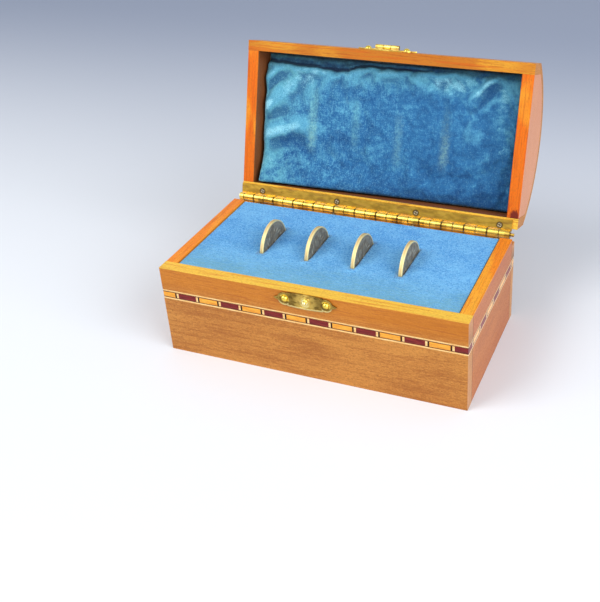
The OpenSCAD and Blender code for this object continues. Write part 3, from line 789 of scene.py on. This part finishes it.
def nailFinish(name):
    # Domed heads, polished on top, with painted shade on their lower side; the knob is painted pale all over, a
    # painted highlight
    finish = Finish(name, metallic=1.0)
    place = finish.place()
    x, y, z = place.parts()
    cloud = place.noise(1.2, 2.0)
    nailX = 0 if name == "strike_knob" else plates["nailX"]
    aside = x - nailX * x.math("SIGN")
    # Painted shade on the lower side of each head
    under = (plateMiddle(finish) - z - 0.7 * aside + 1.5 * (cloud - 0.5)).ramp(-0.7, 0.9)
    if finish.onLid or not nailX:
        under = 0.3 * under
    colour = finish.mix(0.9 * under, brass["nail"] if nailX else plates["bead"], brass["dark"])
    return finish.set(baseColor=colour, roughness=0.16 + 0.2 * under)


dress(brassFinish, "lower_hinge_leaf", "upper_hinge_leaf", "hinge_pin", "hasp_pin")
dress(plateFinish, "strike_plate", "hasp_plate", "hasp_tongue")
dress(nailFinish, "strike_nails", "hasp_nails", "strike_knob")
for name in ("lower_hinge_leaf", "upper_hinge_leaf", "strike_plate", "hasp_plate", "hasp_tongue"):
    soften(name, edges["metal"])


print("screws and lining board")

# The upper leaf is let into the lid's rim, lidGap above the base's when the lid is shut
steel = {
    "colour": (214, 190, 140),
    "worn": (252, 238, 200),
    "slot": (62, 36, 24),
    "lidGap": 0.2,
    "leaf": 0.9,
}

lining = {"dark": (150, 140, 126), "pale": (170, 160, 146)}


def screwFinish(name):
    # Worn plated steel; the cross recess and the rim of the head are painted dark, as painted shade
    finish = Finish(name, metallic=0.8)
    place = finish.place()
    wear = place.noise(0.8, 2.0).ramp(0.45, 0.65)
    x, y, height = place.parts()
    face = rimHeight + steel["lidGap"] - steel["leaf"] if finish.onLid else boxOf(name)[1][2]
    depth = height - face if finish.onLid else face - height
    # Painted shade in the cross recess and round the head's rim
    rim = fromScrew(finish, x, y).ramp(0.95, 1.3)
    inSlot = depth.ramp(0.08, 0.25).larger(0.85 * rim)
    colour = finish.mix(wear, steel["colour"], steel["worn"])
    return finish.set(baseColor=finish.mix(inSlot, colour, steel["slot"]), roughness=0.4 + 0.2 * wear)


def liningFinish(name):
    # Grey pulp board
    finish = Finish("grey board", roughness=0.9)
    pulp = finish.place().noise(0.8, 3.0)
    finish.set(baseColor=finish.mix(pulp.ramp(0.3, 0.7), lining["dark"], lining["pale"]))
    return finish.bump(pulp, 0.05)


dress(screwFinish, "lower_leaf_screws", "upper_leaf_screws")
dress(liningFinish, "cushion_board")


print("felt pad")

felt = {
    "colour": (84, 170, 234),
    "light": (136, 204, 246),
    "deep": (44, 124, 200),
    "front": (108, 166, 184),
    "dirt": (112, 104, 100),
    "lint": (214, 232, 246),
    "slotHalf": (1.275, 15.55),
    "cell": 0.8,
    "roll": 0.6,
    "rollDepth": 0.35,
    "swell": 0.9,
    "swellReach": 2.6,
    "swellFromEnd": 7,
    "inset": 0.2,
    "fray": 0.15,
    "notch": 0.35,
}


def linesThrough(low, high, marks, cell, steps=(0, 0.2, 0.45, 0.8)):
    # Grid lines from low to high, closer together beside each mark
    near = np.array([mark + side * step for mark in marks for side in (-1, 1) for step in steps])
    even = np.linspace(low, high, int((high - low) / cell) + 1)
    clear = np.min(np.abs(even[:, None] - near[None, :]), axis=1) > cell / 3
    lines = np.unique(np.round(np.concatenate([even[clear], near]), 4))
    return lines[(lines >= low) & (lines <= high)]


def feltPad():
    # A sheet of felt whose edges roll down, round the outside and round each coin's slot; the slots are cut
    # through, and the coins push the felt up beside them, most at the near ends
    low, high = boxOf("pad_felt")
    coins = np.array([sum(boxOf(f"coin_{number}")) / 2 for number in coinNumbers])
    half = np.array(felt["slotHalf"])
    slotX = [x + side * half[0] for x in coins[:, 0] for side in (-1, 1)]
    xs = linesThrough(low[0], high[0], [low[0], high[0], *slotX], felt["cell"])
    ys = linesThrough(low[1], high[1], [low[1], high[1], -half[1], half[1]], felt["cell"])
    x, y = np.meshgrid(xs, ys, indexing="ij")
    toSide = np.minimum.reduce([x - low[0], high[0] - x, y - low[1], high[1] - y])
    toSlot = fromSlots(x, y, coins, half)
    roll = felt["rollDepth"] * (1 - smoothStep(np.minimum(toSide, toSlot), -0.01, felt["roll"]))
    endwise = smoothStep(-y, half[1] - felt["swellFromEnd"], half[1])
    roll -= felt["swell"] * (0.45 + 0.55 * endwise) * (1 - smoothStep(toSlot, 0, felt["swellReach"]))
    nap = 0.05 * smoothNoise(x, y, 2.5, 3) + 0.05 * smoothNoise(x, y, 0.9, 4) - 0.06
    top = np.stack([x, y, high[2] - roll + nap], axis=-1)
    # frayed edges: the outline wanders inwards by a little, more in a few places and least on the left
    inward = felt["inset"] + felt["notch"] * smoothStep(smoothNoise(x, y, 3.1, 5), 0.35, 0.9)
    inward += felt["fray"] * np.abs(smoothNoise(x, y, 0.7, 6))
    inward *= np.where(x < low[0] + 0.5, 0.3, 1)
    top[..., 0] -= np.sign(x) * inward * np.isclose(np.abs(x), high[0])
    top[..., 1] -= np.sign(y) * inward * (np.isclose(y, low[1]) | np.isclose(y, high[1]))
    bottom = top.copy()
    bottom[..., 2] = low[2]
    middleX, middleY = (xs[1:] + xs[:-1]) / 2, (ys[1:] + ys[:-1]) / 2
    inSlot = (np.abs(middleX[:, None] - coins[None, :, 0]) < half[0]).any(axis=1)
    pad = slab("felt_pad", top, bottom, ~(inSlot[:, None] & (np.abs(middleY) < half[1])[None, :]))
    x, y, z = pointsOf(pad.data).T
    mark(pad, "toSlot", fromSlots(x, y, coins, half))
    pad.data.materials.append(feltFinish().material)
    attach(pad, "base")
    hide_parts("pad_felt")


def fromSlots(x, y, coins, half):
    # How far a place lies from the nearest slot, a rectangle round each coin's foot
    beside = np.abs(x[..., None] - coins[:, 0]) - half[0]
    beyond = np.abs(y[..., None]) - half[1]
    return np.hypot(np.maximum(beside, 0), np.maximum(beyond, 0)).min(axis=-1)


def feltFinish():
    # Matted fibres, rubbed green towards the front and dirty beside the slots, with bits of lint
    finish = Finish("felt", roughness=0.95, specularIORLevel=0.2, sheenWeight=0.15, sheenRoughness=0.5)
    place = finish.place()
    x, y, z = place.parts()
    cloud = place.noise((16, 10, 10), 3.0)
    streaks = place.noise((5, 0.8, 0.8), 3.0, 0.3)
    fluff = place.noise((1.2, 0.8, 0.8), 3.0, 0.8)
    fibre = place.noise((0.35, 0.7, 0.5), 2.0, 1.0)
    lint = place.noise((1.4, 0.5, 0.5), 1.0, 2.0)
    shade = (0.2 * cloud + 0.4 * fluff + 0.4 * fibre).ramp(0.39, 0.6)
    rubbed = (y + 30 * (cloud - 0.5)).fade(-42, -4) * (0.45 + 0.4 * streaks.ramp(0.4, 0.6))
    smudge = (finish.attribute("toSlot") + 5 * (fluff - 0.5) + 4 * (cloud - 0.5)).fade(0.2, 2.4)
    colour = finish.coats(felt["deep"],
        (shade, felt["light"]),
        (0.3, felt["colour"]),
        (rubbed, felt["front"]),
        (0.32 * smudge, felt["dirt"]),
        (0.35 * lint.ramp(0.66, 0.74), felt["lint"]),
        (0.3 * fibre.ramp(0.5, 0.75), felt["light"]))
    finish.set(baseColor=colour)
    return finish.bump(0.6 * fluff + 0.4 * fibre, 0.25)


feltPad()


print("velvet cushion")

cushion = {
    "cell": 1.4,
    "centre": 4.5,
    "leftLift": 4.2,
    "crease": 1.5,
    "groove": 1.8,
    "shoulder": 0.8,
    "turn": 1.7,
    "pull": 0.8,
    "corner": 1.9,
    "clearOfCoins": 67.0,
    "deep": (26, 76, 128),
    "middle": (50, 116, 168),
    "pale": (98, 176, 208),
    # colours for the painted highlights, painted light and painted shade on the velvet
    "ridge": (160, 228, 246),
    "teal": (102, 176, 192),
    "night": (30, 38, 66),
}

# The velvet's slack, as a cloth solver needs it: worked ten times larger, in frames of its own
slack = {"scale": 10, "steps": 20, "hold": 0.12, "cap": 1.6}
clothSettings = {
    "quality": 6,
    "mass": 0.2,
    "vertex_group_mass": "pins",
    "use_pressure": True,
    "uniform_pressure_force": 0.4,
    "shrink_min": -0.03,
    "bending_stiffness": 0.4,
}

# Folds in the velvet, on the shut lid: three places along a bent line, then half width and height
folds = (
    ((-83.5, -19), (-77.5, -26.2), (-68.5, -33), 1.9, 1.5),
    ((-83.5, -29), (-80, -30.5), (-76, -34), 2, -1.2),
    ((-84.5, -11), (-77.5, -18.8), (-66.5, -30), 3, -1.7),
    ((-84, -3.5), (-75, -10.5), (-60, -23), 3.6, 1.3),
    ((-84, 1.5), (-74, -1.5), (-61, -5.5), 3.4, -1.2),
    ((-82, 16), (-65, 5.6), (-37, -1.8), 4.6, 1.3),
    ((-79, 19.5), (-65, 14.4), (-50, 15), 4.4, -0.9),
    ((-84, 34), (-74, 28), (-57, 24), 5, 0.5),
    ((69, -38.5), (58, -30.5), (50, -21), 2.1, 1.8),
    ((70.5, -35), (62, -24.2), (52, -13.5), 2.6, -1.5),
    ((-34, -29), (-20, -27), (-8, -20), 3.6, 0.5),
    ((12, -33), (22, -27.5), (31, -26), 3, 0.5),
    ((46, 10), (58, 16), (72, 20), 5, -0.4),
)

# Painted highlights on the velvet's pile, drawn as the folds are: half width, and how bright
velvetHighlights = (
    ((-82, -4.6), (-78.4, -7.4), (-73.5, -12), 1.7, 2.6),
    ((-82.8, -20.5), (-77.5, -26.4), (-69, -32.2), 0.9, 0.8),
    ((-79, 12), (-68, 6.4), (-52, 1.8), 3.2, 1.4),
    ((-48, -1), (-47, 3), (-48, 8), 1.8, 1),
    ((-72, -14), (-60, -23), (-44, -29), 6.5, 0.7),
    ((-66, -31), (0, -32.5), (52, -34), 3.8, 0.45),
    ((51.5, -22.5), (57, -28.6), (65, -36), 1.7, 1.1),
    ((26, -27), (40, -29), (56, -31.5), 5.5, 0.8),
    ((67, -34), (71, -27), (72, -16), 3.6, 0.7),
    ((66, -22), (72, -4), (70, 14), 6, 0.3),
    ((82.5, -28), (82.5, 0), (80.5, 34), 3.5, 0.4),
    ((-83.6, -12), (-84, 12), (-84.2, 40), 1.1, 0.9),
    ((-82, 22), (-72, 29), (-58, 33), 7, 0.4),
)

# How much the cushion swells along its hinge side: places along X, and the swelling there
hingeSide = ((-84, -77, -64, -47, -31, -16, 10, 40, 84), (5.5, 8.8, 10.2, 9.8, 8.4, 6.2, 3.8, 2, 1.4))

# The crease under the lid's front board, on the shut lid: places along X, and how far along Y it lies there
creaseLine = (
    (-84, -73, -58, -48, -35, -27, -21, -13.5, 2, 12, 25, 42, 61, 84),
    (-35.4, -34.9, -34, -33.9, -32.4, -33, -35.3, -36.6, -36.4, -36.5, -37.3, -38, -37.2, -38),
)

# Rubbed streaks that the coins left: place along X, from and to along Y, and the colour at each end
rubs = (
    (-48.2, -26, 22, (122, 188, 190), (140, 192, 178)),
    (-19.6, -21, 18, (104, 170, 184), (92, 150, 168)),
    (8.3, -16, 26, (96, 152, 176), (108, 160, 170)),
    (37.8, -23, 24, (58, 96, 126), (136, 178, 168)),
)


def bells(x, y, lines):
    # Each line is bent through its three places; a bell lies across it, fading out towards both ends
    t = np.linspace(0, 1, 25)[:, None]
    fade = smoothStep(t[:, 0], -0.15, 0.25) * (1 - smoothStep(t[:, 0], 0.7, 1.1))
    height = np.zeros(x.shape)
    for first, through, last, width, rise in lines:
        first, through, last = np.array([first, through, last])
        bend = 2 * through - (first + last) / 2
        line = (1 - t) ** 2 * first + 2 * t * (1 - t) * bend + t ** 2 * last
        away = np.hypot(x[..., None] - line[:, 0], y[..., None] - line[:, 1])
        height += rise * np.exp(-((away.min(axis=-1) / width) ** 2)) * fade[away.argmin(axis=-1)]
    return height * (1 + 0.3 * smoothNoise(x, y, 5, 24))


def blurred(grid, cells):
    # Each value becomes a bell-weighted average of its neighbours; the border is repeated outwards
    reach = 3 * cells
    bell = np.exp(-((np.arange(-reach, reach + 1) / cells) ** 2) / 2)
    for axis in (0, 1):
        grid = np.apply_along_axis(
            lambda line: np.convolve(np.pad(line, reach, mode="edge"), bell / bell.sum(), "valid"),
            axis, grid)
    return grid


def lifted(front):
    # How far the face stands out among its neighbours, and how much it leans towards the light
    x, y, z = np.moveaxis(front, -1, 0)
    slopeX = np.gradient(z, axis=0) / np.gradient(x, axis=0)
    slopeY = np.gradient(z, axis=1) / np.gradient(y, axis=1)
    slope = blurred(0.5 * slopeX + 0.85 * slopeY, 1)
    return 0.6 * (blurred(z, 5) - z) - 1.3 * (slope - blurred(slope, 6))


def puff(front, back, toEdge):
    # The cover is cut larger than its board. Held at the back and round the edge, and blown up, it puckers
    # into small folds between the large ones
    cover = slab("cover", front * slack["scale"], back * slack["scale"])
    hold = slack["hold"] + (1 - slack["hold"]) * (1 - smoothStep(toEdge, 0.4, 3.0))
    weights = np.concatenate([hold.ravel(), np.ones(hold.size)])
    pins = cover.vertex_groups.new(name="pins")
    for index, weight in enumerate(weights.tolist()):
        pins.add([index], weight, "REPLACE")
    cloth = cover.modifiers.new("cloth", "CLOTH")
    for setting, value in clothSettings.items():
        setattr(cloth.settings, setting, value)
    cloth.settings.effector_weights.gravity = 0
    cloth.collision_settings.use_collision = False
    scene = bpy.context.scene
    for step in range(1, slack["steps"] + 1):
        scene.frame_set(step)
    points = pointsOf(cover.evaluated_get(bpy.context.evaluated_depsgraph_get()).data)
    scene.frame_set(1)
    bpy.data.objects.remove(cover)
    moved = points.reshape(2, *front.shape)[0] / slack["scale"] - front
    length = np.linalg.norm(moved, axis=-1, keepdims=True)
    print(f"  puckers {length.mean():.2f} mm on average, {length.max():.2f} at most")
    return front + moved * np.minimum(1, slack["cap"] / np.maximum(length, 1e-6))


def cushionPad():
    # A closed cover over its board. The face is nearly flat in the middle, swells towards the left and the
    # hinge, sinks in a crease along the lid's front board, and turns in at the edges in a quarter circle
    shut = swingShut(pointsOf(nodes["lid_cushion"].data))
    low, high = shut.min(axis=0), shut.max(axis=0)
    half, middle = (high - low) / 2, (high + low) / 2
    u = np.linspace(-1, 1, int(2 * half[0] / cushion["cell"]))
    v = np.linspace(1, -1, int(2 * half[1] / cushion["cell"]))
    u, v = np.meshgrid(np.sign(u) * np.abs(u) ** 0.85, np.sign(v) * np.abs(v) ** 0.8, indexing="ij")
    wander = 0.35 * smoothNoise(u * half[0], v * half[1], 9, 21)
    x = u * (half[0] - 0.1 - (cushion["pull"] + wander) * np.abs(u) ** 5 * (1 - v ** 4))
    pull = np.where(v > 0, 0.3, 1) * (cushion["pull"] + wander)
    y = middle[1] + v * (half[1] - 0.1 - pull * np.abs(v) ** 5 * (1 - u ** 8))
    toEdge = np.minimum(x - x.min(axis=0), x.max(axis=0) - x)
    toEdge = np.minimum(toEdge, np.minimum(y - y.min(axis=1)[:, None], y.max(axis=1)[:, None] - y))
    right = smoothStep(x, -20, 50)
    thick = np.full(x.shape, cushion["centre"])
    thick += cushion["leftLift"] * np.exp(-(((x - low[0]) / 12) ** 2)) * smoothStep(y, -38, -24)
    thick += np.interp(x, *hingeSide) * np.exp(-(((y - high[1]) / 11) ** 2))
    fromCrease = y - np.interp(x, *creaseLine) - 0.4 * smoothNoise(x, y, 5, 22)
    above, groove = 1 - smoothStep(fromCrease, -1.5, 0.5), np.exp(-((fromCrease / 1.1) ** 2))
    shoulder = np.exp(-(((fromCrease - 3.4) / 2.2) ** 2))
    thick -= (cushion["crease"] * above + cushion["groove"] * groove) * (1 - 0.5 * right)
    thick += cushion["shoulder"] * shoulder * (1 - 0.5 * right)
    thick += bells(x, y, folds) * smoothStep(toEdge, -1, 3)
    for size, cell, seed in ((0.3, 13, 11), (0.16, 6, 12), (0.08, 2.6, 13)):
        thick += size * smoothNoise(x, y, cell, seed)
    turn = np.clip(1 - toEdge / cushion["turn"], 0, 1)
    thick = np.maximum(thick - cushion["turn"] * (1 - np.sqrt(1 - turn ** 2)), 0.6)
    front = np.stack([x, y, high[2] - thick], axis=-1)
    back = np.stack([x, y, np.full(x.shape, high[2] - 0.05)], axis=-1)
    front[..., 0] += cushion["corner"] * (u < 0) * np.abs(u) ** 5 * smoothStep(v, 0.3, 1)
    front = puff(front, back, toEdge)
    nearCoins = smoothStep(-np.abs(front[..., 1]), -24, -18) * smoothStep(-np.abs(front[..., 0]), -52, -46)
    lowest = front[..., 2] * (1 - nearCoins) + np.maximum(front[..., 2], cushion["clearOfCoins"]) * nearCoins
    front[..., 2] = np.minimum(lowest, high[2] - 0.5)
    piece = slab("velvet_cushion", swing(front, openAngle), swing(back, openAngle))
    # The folds' painted light and shade is kept off the edges, the hinge side and the right; the left edge gets a
    # painted highlight
    lit = smoothStep(toEdge, 0.5, 3) * (1 - smoothStep(y, 12, 26)) * (1 - smoothStep(x, 64, 74))
    leftEdge = (1 - smoothStep(toEdge, 0.5, 2.4)) * (x < -76) * smoothStep(y, -24, -8)
    # lift paints light and shade on the folds, shine paints highlights, crease paints shade in the crease and the
    # band above it
    marks = {
        "lift": lifted(front) * lit,
        "shine": bells(x, y, velvetHighlights) + 1.4 * leftEdge,
        "crease": np.maximum(0.48 * above, groove * (1 - 0.6 * right)),
    }
    for label, values in marks.items():
        mark(piece, label, np.stack([values, np.zeros(values.shape)]))
    finer = piece.modifiers.new("finer", "SUBSURF")
    finer.levels = finer.render_levels = 1
    piece.data.materials.append(velvetFinish().material)
    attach(piece, "lid")
    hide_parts("lid_cushion")


def velvetFinish():
    # Crushed pile: patches that lie one way or the other, paler along the folds' crests and darker in their
    # valleys, both painted light and shade; then the coins' streaks, painted highlights where brushed hairs catch
    # the light, and a dark crease of painted shade
    finish = Finish("velvet", roughness=0.85, specularIORLevel=0.2, sheenWeight=0.35, sheenRoughness=0.4,
                    sheenTint=(170, 215, 240))
    place = finish.place()
    x, y, z = place.parts()
    lift, crease, shine = [finish.attribute(label) for label in ("lift", "crease", "shine")]
    cloud = place.noise((17, 12, 17), 3.0, 0.4)
    blotch = place.noise((4, 3.2, 4), 3.0, 0.4)
    nap = place.noise((1.3, 1.1, 1.3), 3.0, 0.3)
    hairs = place.noise((0.45, 0.6, 0.5), 2.0, 0.2)
    brushed = place.noise((0.8, 3.4, 2), 2.0, 0.6)
    soft = 0.85 - 0.4 * x.ramp(-30, 40)
    grain = 0.13 * (nap - 0.5) + 0.08 * (hairs - 0.5) + 0.14 * (brushed - 0.5)
    light = 0.31 * cloud + 0.25 * blotch + 0.22 + soft * grain + 0.1 * shine
    # Painted light and shade: lighter and more teal to the upper left, darker to the lower right and along the
    # hinge side, a little lighter at the right edge
    light = light + 0.06 * (-1 * x - 1.3 * y).ramp(10, 110) - 0.06 * (x + 2 * y).ramp(20, 110)
    light = light - 0.08 * (y + 0.05 * x).ramp(30, 42) + 0.03 * x.ramp(60, 80)
    tealness = 0.8 * x.fade(-80, -35) + 0.55 * y.fade(-34, -18)
    # Painted highlights on the crests, kept out of the crease's painted shade
    spark = (0.1 * lift + shine + 2 * (blotch - 0.5) + 1.4 * (hairs - 0.5)).ramp(0.5, 1.6)
    spark = spark * (1 - 0.75 * crease.ramp(0.02, 0.15)) * y.ramp(-37, -33)
    fine = 0.25 * nap + 0.55 * hairs + 0.2 * brushed

    def rubbed(streak, start, end, first, last):
        # One coin's streak, as its share and colour
        beside = abs(x - streak + 4 * (blotch - 0.5)).fade(0.3, 4.4)
        within = y.ramp(start, start + 12) * y.fade(end - 12, end)
        share = beside * within * (0.25 + 0.35 * nap.ramp(0.34, 0.66))
        return share, finish.mix(y.ramp(start + 10, end - 10), first, last)

    colour = finish.coats(cushion["deep"],
        (light.ramp(0.33, 0.55), cushion["middle"]),
        (light.ramp(0.48, 0.68), cushion["pale"]),
        (tealness * light.ramp(0.4, 0.6), cushion["teal"]),
        # painted light on the folds' crests, painted shade in their valleys
        (0.65 * (lift + 2 * (light - 0.5)).ramp(0.1, 0.8), cushion["pale"]),
        (0.7 * (2 * (light - 0.5) - lift).ramp(0.15, 0.9), cushion["deep"]),
        *[rubbed(*rub) for rub in rubs],
        (0.8 * spark, cushion["ridge"]),
        (0.32 * soft * fine.fade(0.38, 0.52), cushion["deep"]),
        (0.24 * soft * fine.ramp(0.5, 0.62), cushion["ridge"]),
        # painted shade in the crease and in the band above it
        (0.85 * (crease + 0.5 * (blotch - 0.5)).ramp(0.15, 0.7), cushion["night"]))
    finish.set(baseColor=colour)
    return finish.bump(0.5 * nap + 0.5 * hairs, 0.4)


cushionPad()


print("coins")

# The rim's profile is given by how far each point lies inside the edge and below the coin's highest place
coin = {
    "rings": 44,
    "turns": 300,
    "reedDepth": 0.12,
    "relief": 0.16,
    "field": 0.2,
    "hub": 0.25,
    "rimWidth": 1.25,
    "rimInside": (1.1, 1.0, 0.3, 0.1, 0.02),
    "rimBelow": (0.18, 0.0, 0.0, 0.05, 0.13),
    "drawnRadius": 15.3,
    "spin": 1.1,
    "edge": (255, 232, 166),
    "copper": (206, 140, 76),
    "flat": (156, 145, 126),
    "worn": (208, 196, 168),
    "dirt": (96, 87, 76),
}


def coinRelief(r, turn, radius):
    # Ornament inside the rim: the highest of an eight-pointed star, a wreath of leaves cut from a slanting
    # sine wave, and a ring of beads
    r = r * coin["drawnRadius"] / radius
    starTip = 3.2 + 2.6 * np.abs(((turn * 4 / math.pi) % 2) - 1)
    star = np.clip((starTip - r) / 2.2, 0, 1) * (0.6 + 0.4 * np.abs(np.sin(4 * turn)))
    leaves = np.clip(np.sin(18 * turn + 1.3 * (r - 8.6)) * 1.4, 0, 1)
    leaves *= np.clip(1 - ((r - 9.2) / 2) ** 2, 0, 1)
    beads = np.clip(np.cos(60 * turn) * 0.8 + 0.4, 0, 1) * np.clip(1 - ((r - 12.9) / 0.5) ** 2, 0, 1)
    return np.maximum.reduce([star, 0.85 * leaves, 0.7 * beads])


def coinPiece(number):
    # Turned profile with a reeded edge: rings of points from one face's centre round the edge to the other's
    low, high = boxOf(f"coin_{number}")
    centre, radius, half = (low + high) / 2, (high[2] - low[2]) / 2, (high[0] - low[0]) / 2
    turn = np.arange(coin["turns"]) * 2 * math.pi / coin["turns"]
    inner = np.linspace(coin["hub"], radius - coin["rimWidth"], coin["rings"])
    faceR = np.concatenate([inner, radius - np.array(coin["rimInside"])])
    faceH = half - np.concatenate([np.full(inner.size, coin["field"]), coin["rimBelow"]])
    r, a = np.meshgrid(np.concatenate([faceR, faceR[::-1]]), turn, indexing="ij")
    across = np.broadcast_to(np.concatenate([faceH, -faceH[::-1]])[:, None], r.shape).copy()
    across += np.sign(across) * coin["relief"] * coinRelief(r, a, radius) * (r < radius - 1.2)
    r = r - coin["reedDepth"] * (np.arange(coin["turns"]) % 2) * (r > radius - 0.15)
    a = a + number * coin["spin"]
    points = centre + np.stack([across, r * np.cos(a), r * np.sin(a)], axis=-1)
    ids = np.arange(r.size).reshape(r.shape)
    after = np.roll(ids, -1, axis=1)
    quads = np.stack([after[:-1], after[1:], ids[1:], ids[:-1]], axis=-1).reshape(-1, 4)
    caps = [ids[0][::-1].tolist(), ids[-1].tolist()]
    piece = addPiece(f"minted_coin_{number}", points, quads.tolist() + caps)
    mark(piece, "radius", r)
    mark(piece, "across", across)
    piece.data.materials.append(minted.material)
    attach(piece, f"coin_{number}_body")
    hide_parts(f"coin_{number}")


def coinFinish():
    # Nickel worn bright on the relief, with dirt on the faces, a yellow rim and a copper line round the edge
    finish = Finish("coin", metallic=0.55, specularIORLevel=0.3)
    place = finish.place()
    r, across = finish.attribute("radius"), abs(finish.attribute("across"))
    onEdge = r.ramp(14.3, 14.9)
    dirt = place.noise((3, 3.5, 3.5), 3.0).ramp(0.42, 0.6)
    stripe = r.ramp(15.05, 15.1) * across.fade(0.3, 0.5)
    face = finish.coats(coin["flat"], (across.ramp(0.9, 1.03), coin["worn"]), (0.5 * dirt, coin["dirt"]))
    edge = finish.mix(0.35 * stripe, coin["edge"], coin["copper"])
    return finish.set(baseColor=finish.mix(onEdge, face, edge), roughness=0.55 - 0.15 * onEdge + 0.15 * dirt)


minted = coinFinish()
for number in coinNumbers:
    coinPiece(number)
